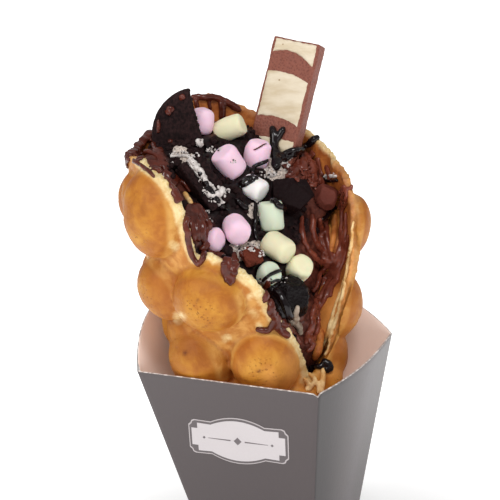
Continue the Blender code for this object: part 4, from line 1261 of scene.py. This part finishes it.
syrupRoutes = {
    "seam": ([(309, 371), (314, 369.5), (319, 367), (324, 362)], 1.6),
    "seamEnd": ([(325, 361), (328, 365), (329, 369)], 2.0),
    "seamLow": ([(310, 367), (314, 369)], 1.6),
    "seamFill": ([(325, 368), (327, 371)], 1.5),
    "forkLeft": ([(273, 129), (275, 137), (275, 148), (275, 160)], 2.3),
    "forkRight": ([(284, 129), (281, 134), (277, 141)], 1.7),
    "forkFoot": ([(275, 156), (275, 163), (276, 169)], 2.3),
    "barLine": ([(317, 139), (311, 143), (304, 147)], 1.9),
    "barLineFoot": ([(304, 148), (295, 150), (287, 153), (280, 158)], 1.8),
    "barLineLow": ([(300, 151), (291, 156), (283, 161)], 1.3),
    "barPool": ([(284, 156), (278, 161), (274, 166)], 2.3),
    "overPink": ([(267, 160), (258, 164), (253, 169), (252, 176)], 1.1),
    "overWhite": ([(241, 184), (245, 180), (250, 178.5), (257, 179)], 1.3),
    "overWhiteLow": ([(242, 187), (248, 184), (254, 181)], 0.9),
    "wallRight": ([(321, 219), (328, 213), (336, 207)], 1.2),
    "wallRightLow": ([(326, 217), (332, 212), (336, 208)], 0.8),
    "wallRightTop": ([(324, 180), (331, 181), (338, 180)], 1.0),
    "chunkSide": ([(270, 286), (273, 296), (279, 306), (285, 315)], 1.9),
    "chunkMiddle": ([(278, 284), (281, 295), (286, 305), (290, 316)], 2.0),
    "sliver": ([(263, 281), (268, 276), (274, 273), (280, 271)], 1.0),
    "sliverLow": ([(270, 283), (277, 280), (284, 278)], 0.9),
    "chunkLip": ([(272, 202), (278, 206), (284, 210)], 1.7),
    "deepLeft": ([(196, 166), (204, 182), (216, 200), (226, 210)], 1.4),
    "deepMiddle": ([(255, 202), (255, 216), (254, 228), (256, 240)], 1.2),
    "deepUpper": ([(236, 200), (241, 206), (246, 209)], 1.5),
}
lipRoutes = {   # ridges of the sheet's folded edge on the right, and its frayed end
    "outer": ([(354, 222), (352, 245), (349, 265), (346, 285), (341, 305), (336, 322), (331, 338),
               (326, 355)], 1.0),
    "inner": ([(344, 280), (338, 300), (332, 318), (327, 336), (321, 353)], 0.9),
    "tab": ([(323, 368), (322.5, 378), (321, 391)], 1.35),
    "tabLeft": ([(309, 374), (315, 379), (313, 384), (309, 390)], 1.1),
    "tabMiddle": ([(318, 382), (318, 392)], 0.9),
    "tabFoot": ([(304, 378), (308, 384), (306, 390)], 1.1),
    "foldPiece": ([(184, 194), (188, 200), (191, 206)], 1.2),
}
wallRoutes = {   # where the wall folds up between the strands of spread
    "seam": ([(320, 330), (318, 340), (316, 349), (314, 357)], 2.1),
    "strip": ([(336, 215), (335, 228), (333, 242), (331, 251)], 1.7),
}
creamRoutes = {   # the sandwich's filling where it lies in smears
    "top": ([(198, 140), (200, 146)], 1.2),
    "chip": ([(324, 177), (330, 175.5), (337, 176)], 0.9),
    "upper": ([(171, 157), (179, 156), (188, 157), (199, 156)], 0.9),
    "band": ([(191, 162), (197, 168), (202, 176), (206, 185)], 1.5),
    "bandLow": ([(206, 190), (212, 196), (220, 193), (228, 191)], 1.4),
}
meltedRoutes = {   # a streak of melted marshmallow low in the seam
    "streak": ([(297, 307), (295, 314), (293, 322)], 1.5),
    "streakLow": ([(295, 315), (296, 324), (299, 333)], 1.8),
}
sauce = {
    "step": 0.6 * mm, "sink": 0.25, "voxel": 0.46 * mm, "wobble": 0.14, "wobbleSize": 3.5 * mm,
    "end": 0.72, "taper": 0.28,   # how thick a rope's end is, and what it gains further in
    "rise": 5, "blunt": 0.25,     # how fast it gains that, and how much of it the far end has
    "threefoldFrom": 1.4, "strand": 0.52, "spread": 0.62, "apart": 1.15, "drop": 0.12,
}


def curvePoints(points, step):
    # a smooth line through the points, with even steps
    points = [points[0]] + points + [points[-1]]
    line = []
    for before, start, end, after in zip(points, points[1:], points[2:], points[3:]):
        count = max(2, int((end - start).length / step))
        for index in range(count):
            t = index / count
            line.append(0.5 * (2 * start + (end - before) * t
                               + (2 * before - 5 * start + 4 * end - after) * t * t
                               + (3 * start - before - 3 * end + after) * t ** 3))
    return line + [points[-1]]


def nearestOn(tree, point):
    # the nearest place and the mean normal there, over all faces that meet at it, in a fixed order
    reach = tree.find_nearest(point)[3] + mergeReach
    found = sorted(tree.find_nearest_range(point, reach), key=lambda one: (one[2], one[0][:]))
    spot = sum((one[0] for one in found), Vector()) / len(found)
    return spot, sum((one[1] for one in found), Vector()).normalized()


def beads(routes, carrier, bundled):
    # the beads of every route, sunk a little in what carries them: middle, size and share of it
    for order, (pixels, width, *single) in enumerate(routes.values()):
        hits = [carrier.ray_cast(eye, photoRay(*pixel))[0] for pixel in pixels]
        hits = [hit for hit in hits if hit]
        if len(hits) < 2:
            continue
        line = curvePoints(hits, sauce["step"])
        last = len(line) - 1
        threefold = bundled and width > sauce["threefoldFrom"] and not single
        for index, point in enumerate(line):
            near, normal = nearestOn(carrier, point)
            if normal.dot(eye - near) < 0:
                normal = -normal
            share = index / max(1, last)
            full = min(1, share * sauce["rise"], (1 - share) * sauce["rise"] + sauce["blunt"])
            taper = sauce["end"] + sauce["taper"] * full
            wave = noise.noise(point / sauce["wobbleSize"] + Vector((order, 0, 0)))
            size = width * mm * taper * (1 + sauce["wobble"] * wave)
            spot = near + normal * size * (1 - 2 * sauce["sink"])
            onward = line[min(index + 1, last)] - line[max(index - 1, 0)]
            side = onward.cross(normal).normalized()
            for lane in (-1, 0, 1) if threefold else (0,):
                shift = (side * lane * size * sauce["spread"] * sauce["apart"]
                         - normal * abs(lane) * size * sauce["drop"])
                yield np.array(spot + shift), size, sauce["strand"] if threefold else 1.0


def poured(name, routes, carrier, material, slot, bundled=False):
    # beads melted into ropes
    ball = bmesh.new()
    bmesh.ops.create_icosphere(ball, subdivisions=2, radius=1)
    ballSpots, ballFaces = templateOf(ball)
    spots = [ballSpots * size * share + middle for middle, size, share in beads(routes, carrier, bundled)]
    faces = [ballFaces + index * len(ballSpots) for index in range(len(spots))]
    mesh = melted(joined(name, spots, faces), sauce["voxel"])[0]
    addPiece(name, mesh, material, slot)
    print(name, "poured", len(mesh.polygons))


def spreadPaint():
    paint = Paint("spread_brown")
    cloud, fine = paint.noise(240.0), paint.noise(900.0)
    # painted light: both tones lighten towards the right, where the strands lie deep in shade
    right = paint.vector("DOT_PRODUCT", tuple(sideAxis), output="Value").between(-5 * mm, 15 * mm)
    dark = paint.mix(right, tone(68, 24, 14), tone(98, 42, 29))
    light = paint.mix(right, tone(92, 39, 27), tone(130, 66, 50))
    colour = paint.mix(cloud.between(0.3, 0.7), dark, light)
    return paint.finish(Base_Color=colour, Roughness=0.18 + fine * 0.1, Specular_IOR_Level=0.32,
                        Normal=paint.bump(cloud * 0.4 + fine * 0.1, 0.3 * mm, 0.5))


# Loose bits strewn over the filling, with sizes in millimetres
strewn = {
    # lift is how far a bit's middle stands off: for bits, crumbs and darkSpecks as a share of its size,
    # for flakes, dust and specks in millimetres
    "bits": {"count": 520, "size": (1.6, 5.2), "seed": 41, "plainBelow": 3.0 * mm, "detail": 3,
             "uneven": (0.7, 1.3), "lift": 0.1},
    "flakes": {"count": 110, "size": (3.0, 6.5), "seed": 42, "lift": 0.3, "curl": (0.3, 1.1)},
    "dust": {"count": 900, "size": (0.35, 0.9), "seed": 43, "detail": 2, "lift": 0.4},
    "crumbs": {"seed": 44, "size": (0.35, 1.0), "long": (0.8, 1.5), "flat": 0.8, "lift": 0.12},
    "specks": {"share": 0.22, "size": (0.4, 0.9), "lift": 0.7},
    "darkSpecks": {"size": (0.4, 1.0), "lift": 0.2},
    "shardKinds": 6, "shardFaces": (6, 9), "shardDent": 0.14, "flakeKinds": 5, "flakeWide": 0.34,
    "flakeUneven": 0.1, "flakeThick": 0.16, "lean": 0.5, "turn": 6.3, "brown": 0.25, "dark": (0.6, 0.5),
    "tries": 6, "open": 0.05, "clear": 2.0 * mm, "under": 40 * mm,
}
creamSpots = [   # pixel, reach across and down in pixels, number of crumbs, largest size in mm
    (184, 155, 15, 3.5, 60, 1.5), (200, 143, 3, 4, 16, 1.7), (172, 164, 4, 3, 14, 1.7),
    (150, 161, 3, 2, 8, 1.4), (196, 167, 4, 4, 22, 1.4), (202, 177, 4, 5, 22, 1.4),
    (209, 190, 6, 6, 34, 1.8), (221, 192, 9, 5, 44, 2.0), (212, 199, 5, 3, 14, 1.5),
    (268, 173, 9, 5, 60, 1.8), (281, 166, 8, 5, 60, 1.9), (288, 156, 4, 4, 18, 1.6),
    (257, 206, 4, 6, 34, 1.7), (259, 218, 2, 4, 14, 1.4), (238, 249, 8, 4, 44, 1.6),
    (253, 247, 7, 4, 34, 1.7), (331, 176, 7, 3, 16, 1.2), (250, 206, 3, 2, 6, 1.0),
    (208, 212, 3, 2, 8, 1.1), (283, 280, 6, 3, 14, 1.4),
    (266, 280, 6, 4, 22, 1.5), (211, 220, 3, 2, 8, 1.2), (262, 254, 4, 3, 12, 1.5),
    (234, 162, 4, 3, 8, 1.0), (214, 150, 8, 3, 26, 1.6),
]
darkSpots = [   # the same for the black crumbs that lie over the sandwich's filling
    (183, 144, 11, 3, 60, 2.8), (177, 161, 5, 3, 22, 2.2), (190, 150, 3, 3, 14, 2.0),
    (196, 152, 6, 3, 18, 1.8), (276, 164, 5, 3, 12, 1.2),
]


def copies(name, templates, placings, material, slot, soft=True):
    spots, faces, start = [], [], 0
    for which, matrix in placings:
        own, loops = templates[which]
        spots.append(own @ np.array(matrix.to_3x3()).T + np.array(matrix.translation))
        faces.append(loops + start)
        start += len(own)
    addPiece(name, joined(name, spots, faces), material, slot, soft=soft)


def turnedAt(spot, normal, spin, size, dice):
    tilt = Vector((dice.gauss(0, strewn["lean"]), dice.gauss(0, strewn["lean"]), 1)).normalized()
    align = normal.to_track_quat("Z", "Y").to_matrix().to_4x4()
    own = tilt.to_track_quat("Z", "Y").to_matrix().to_4x4()
    scale = Matrix.Diagonal((*size, 1))
    return Matrix.Translation(spot) @ align @ own @ Matrix.Rotation(spin, 4, "Z") @ scale


def shardTemplates(dice, detail):
    made = []
    for kind in range(strewn["shardKinds"]):
        bm = brokenBall(detail, dice.randint(*strewn["shardFaces"]), dice)
        for vert in bm.verts:
            vert.co *= 1 + strewn["shardDent"] * noise.noise(vert.co * 6 + Vector((kind * 5, 0, 0)))
        made.append(templateOf(bm))
    return made


def flakeTemplates(dice):
    # thin curled shavings, 1 long
    made = []
    for kind in range(strewn["flakeKinds"]):
        bm = bmesh.new()
        bmesh.ops.create_uvsphere(bm, u_segments=10, v_segments=8, radius=0.5)
        curl = dice.uniform(*strewn["flakes"]["curl"])
        for vert in bm.verts:
            x, y, z = vert.co
            wide = strewn["flakeWide"] + strewn["flakeUneven"] * noise.noise(Vector((x * 4, kind, 0)))
            vert.co = (x, y * wide, z * strewn["flakeThick"] + curl * (0.25 - x * x) * 0.5)
        made.append(templateOf(bm))
    return made


def faceValues(mesh, name):
    values = np.empty(len(mesh.polygons) * 3)
    mesh.polygons.foreach_get(name, values)
    return values.reshape(-1, 3)


def heapPoints(heap, toppings, count, dice, wanted):
    # random points of the heap's open side, clear of the toppings
    centres, normals = faceValues(heap.data, "center"), faceValues(heap.data, "normal")
    shown = np.nonzero((normals @ np.array(outAxis) > strewn["open"]) & wanted(centres))[0]
    found = []
    for attempt in range(count * strewn["tries"]):
        index = int(shown[dice.randrange(len(shown))])
        spot, normal = Vector(centres[index]), Vector(normals[index])
        near = toppings.find_nearest(spot, strewn["clear"])[0]
        if near is None and toppings.ray_cast(spot + outAxis * mm, outAxis, strewn["under"])[0] is None:
            found.append((spot, normal))
        if len(found) == count:
            break
    return found


def darkPlace(centres):
    brown, speckled = (zoneShare(centres, filling[name]) for name in ("brown", "speckled"))
    return (brown < strewn["dark"][0]) & (speckled < strewn["dark"][1])


def brownPlace(centres):
    return zoneShare(centres, filling["brown"][:1] + filling["brown"][-1:]) > strewn["brown"]


def scattered(spots, carrier, dice):
    # where the crumbs of the listed spots land: place, normal, turn and the spot's largest size
    for x, y, wide, tall, count, largest in spots:
        for index in range(count):
            turn, away = dice.uniform(0, strewn["turn"]), math.sqrt(dice.random())
            pixel = x + away * math.cos(turn) * wide, y + away * math.sin(turn) * tall
            hit, normal, face, distance = carrier.ray_cast(eye, photoRay(*pixel))
            if hit:
                yield hit, normal, turn, largest


def strewBits(heap, toppings, coarse, black):
    # shards of cookie, the small ones with fewer faces
    look = strewn["bits"]
    dice = random.Random(look["seed"])
    shards = shardTemplates(dice, look["detail"])
    placings = []
    for spot, normal in heapPoints(heap, toppings, look["count"], dice, darkPlace):
        size = dice.uniform(look["size"][0] ** -1, look["size"][1] ** -1) ** -1 * mm
        shape = [size * dice.uniform(*look["uneven"]) for axis in range(3)]
        which = dice.randrange(len(shards)) + (len(shards) if size < look["plainBelow"] else 0)
        placings.append((which, turnedAt(spot + normal * size * look["lift"], normal,
                                         dice.uniform(0, strewn["turn"]), shape, dice)))
    copies("cookie_bits", shards + coarse, placings, black, "cookie_wafer", soft=False)


def strewFlakes(heap, toppings, brown):
    look = strewn["flakes"]
    dice = random.Random(look["seed"])
    shavings = flakeTemplates(dice)
    placings = []
    for spot, normal in heapPoints(heap, toppings, look["count"], dice, brownPlace):
        size = dice.uniform(*look["size"]) * mm
        placings.append((dice.randrange(len(shavings)),
                         turnedAt(spot + normal * look["lift"] * mm, normal,
                                  dice.uniform(0, strewn["turn"]), [size] * 3, dice)))
    copies("chocolate_flakes", shavings, placings, brown, "milk_chocolate")


def strewDust(heap, toppings, coarse, black):
    look = strewn["dust"]
    dice = random.Random(look["seed"])
    placings = []
    for spot, normal in heapPoints(heap, toppings, look["count"], dice, darkPlace):
        size = dice.uniform(*look["size"]) * mm
        placings.append((dice.randrange(len(coarse)),
                         turnedAt(spot + normal * look["lift"] * mm, normal, 0, [size] * 3, dice)))
    copies("cookie_crumbs", coarse, placings, black, "cookie_wafer", soft=False)


def strewCrumbs(carrier, coarse, black, white):
    # cream crumbs with black specks among them, then the black crumbs over the cream
    look, speck, dark = strewn["crumbs"], strewn["specks"], strewn["darkSpecks"]
    dice = random.Random(look["seed"])
    placings, specks = [], []
    for hit, normal, turn, largest in scattered(creamSpots, carrier, dice):
        if dice.random() < speck["share"]:
            size = dice.uniform(*speck["size"]) * mm
            specks.append((dice.randrange(len(coarse)),
                           turnedAt(hit + normal * speck["lift"] * mm, normal, 0, [size] * 3, dice)))
            continue
        size = dice.uniform(*look["size"]) ** 1.5 * largest * mm
        placings.append((dice.randrange(len(coarse)),
                         turnedAt(hit + normal * size * look["lift"], normal, turn,
                                  [size * dice.uniform(*look["long"]), size, size * look["flat"]], dice)))
    for hit, normal, turn, largest in scattered(darkSpots, carrier, dice):
        size = dice.uniform(*dark["size"]) * largest * mm
        specks.append((dice.randrange(len(coarse)),
                       turnedAt(hit + normal * size * dark["lift"], normal, turn, [size] * 3, dice)))
    copies("cream_crumbs", coarse, placings, white, "cookie_cream")
    copies("dark_specks", coarse, specks, black, "cookie_wafer", soft=False)


def buildStrewn(heap, toppings, carrier, black, brown, white):
    coarse = shardTemplates(random.Random(strewn["bits"]["seed"]), strewn["dust"]["detail"])
    strewBits(heap, toppings, coarse, black)
    strewFlakes(heap, toppings, brown)
    strewDust(heap, toppings, coarse, black)
    strewCrumbs(carrier, coarse, black, white)
    print("bits strewn")


# Floor, light and camera
studio = {
    "world": 0.46, "floor": (0.88, 0.9), "glow": (0.2, 0.95), "glowFade": (0.06, 0.26),
    "radius": 12.0, "target": 0.17,
    "lamps": {   # energy, size, and how far across, up and towards the camera
        "key": (6.8, 0.3, (0.2, 0.85, 0.85)), "fill": (4.5, 0.4, (-0.7, 0.4, 0.8))},
}


def floorPaint():
    # the sweep of paper behind the food is lit from within, as a backdrop is by its own lamps
    paint = Paint("studio_floor")
    grain = paint.noise(3.0, 2.0)
    away = paint.vector("LENGTH", output="Value").between(*studio["glowFade"])
    floorDark, floorLight, near, far = ((level,) * 3 for level in studio["floor"] + studio["glow"])
    return paint.finish(Base_Color=paint.mix(grain, floorDark, floorLight), Roughness=0.8,
                        Emission_Color=paint.mix(away, near, far), Emission_Strength=1.0)


def softLight(name, energy, size, spot):
    light = bpy.data.lights.new(name, "AREA")
    light.energy = energy
    light.size = size
    obj = plainObject(name, light)
    target = Vector((0, 0, studio["target"]))
    obj.location = target + sideAxis * spot[0] + Vector((0, 0, spot[1])) + backAxis * spot[2]
    obj.rotation_euler = (obj.location - target).to_track_quat("Z", "Y").to_euler()


def buildStudio():
    bm = bmesh.new()
    bmesh.ops.create_circle(bm, cap_ends=True, segments=64, radius=studio["radius"])
    floor = plainObject("floor", meshOf(bm))
    floor.data.materials.append(floorPaint())
    world = bpy.data.worlds.new("studio")
    world.use_nodes = True
    world.node_tree.nodes["Background"].inputs["Color"].default_value = (1, 1, 1, 1)
    world.node_tree.nodes["Background"].inputs["Strength"].default_value = studio["world"]
    bpy.context.scene.world = world
    for name, lamp in studio["lamps"].items():
        softLight(name, *lamp)
    lens = bpy.data.cameras.new("camera")
    lens.sensor_width = photo["sensor"]
    lens.lens = photo["focal"] / photo["frame"] * photo["sensor"]
    camera = plainObject("camera", lens)
    camera.matrix_world = axesMatrix(sideAxis, topAxis, backAxis, eye)
    bpy.context.scene.camera = camera
    bpy.context.scene.view_settings.view_transform = "Standard"
    print("studio lit")


def main():
    buildStudio()
    buildHolder()
    buildLabel()
    roll = buildWaffle()
    heap = buildFilling()
    black, white = grainedPaint("wafer_black", "wafer", (15, 6, 7), (46, 28, 28)), whippedPaint()
    toppings = buildSweets() + buildCookies(black, white) + buildChunks() + buildBar()
    toppingTree = treeOf(toppings)
    carrier = treeOf([roll, heap] + toppings)
    brown, dark = spreadPaint(), grainedPaint("syrup_dark", "syrup", (8, 4, 6), (24, 12, 14))
    pale = grainedPaint("lip_pale", "ridge", (214, 162, 94), (244, 214, 158))
    orange = grainedPaint("wall_orange", "ridge", (164, 90, 40), (198, 124, 60), shine=(0.45, 0.15, 0.25))
    grey = grainedPaint("melted_grey", "melted", (122, 104, 88), (170, 154, 136))
    poured("lip_ridges", lipRoutes, carrier, pale, "waffle_crust")
    poured("wall_folds", wallRoutes, carrier, orange, "waffle_crust")
    poured("melted_streak", meltedRoutes, carrier, grey, "cookie_cream")
    poured("cream_smears", creamRoutes, carrier, white, "cookie_cream")
    poured("spread_runs", spreadRoutes, carrier, brown, "milk_chocolate", bundled=True)
    poured("syrup_runs", syrupRoutes, carrier, dark, "syrup_chunk")
    buildStrewn(heap, toppingTree, carrier, black, brown, white)


main()
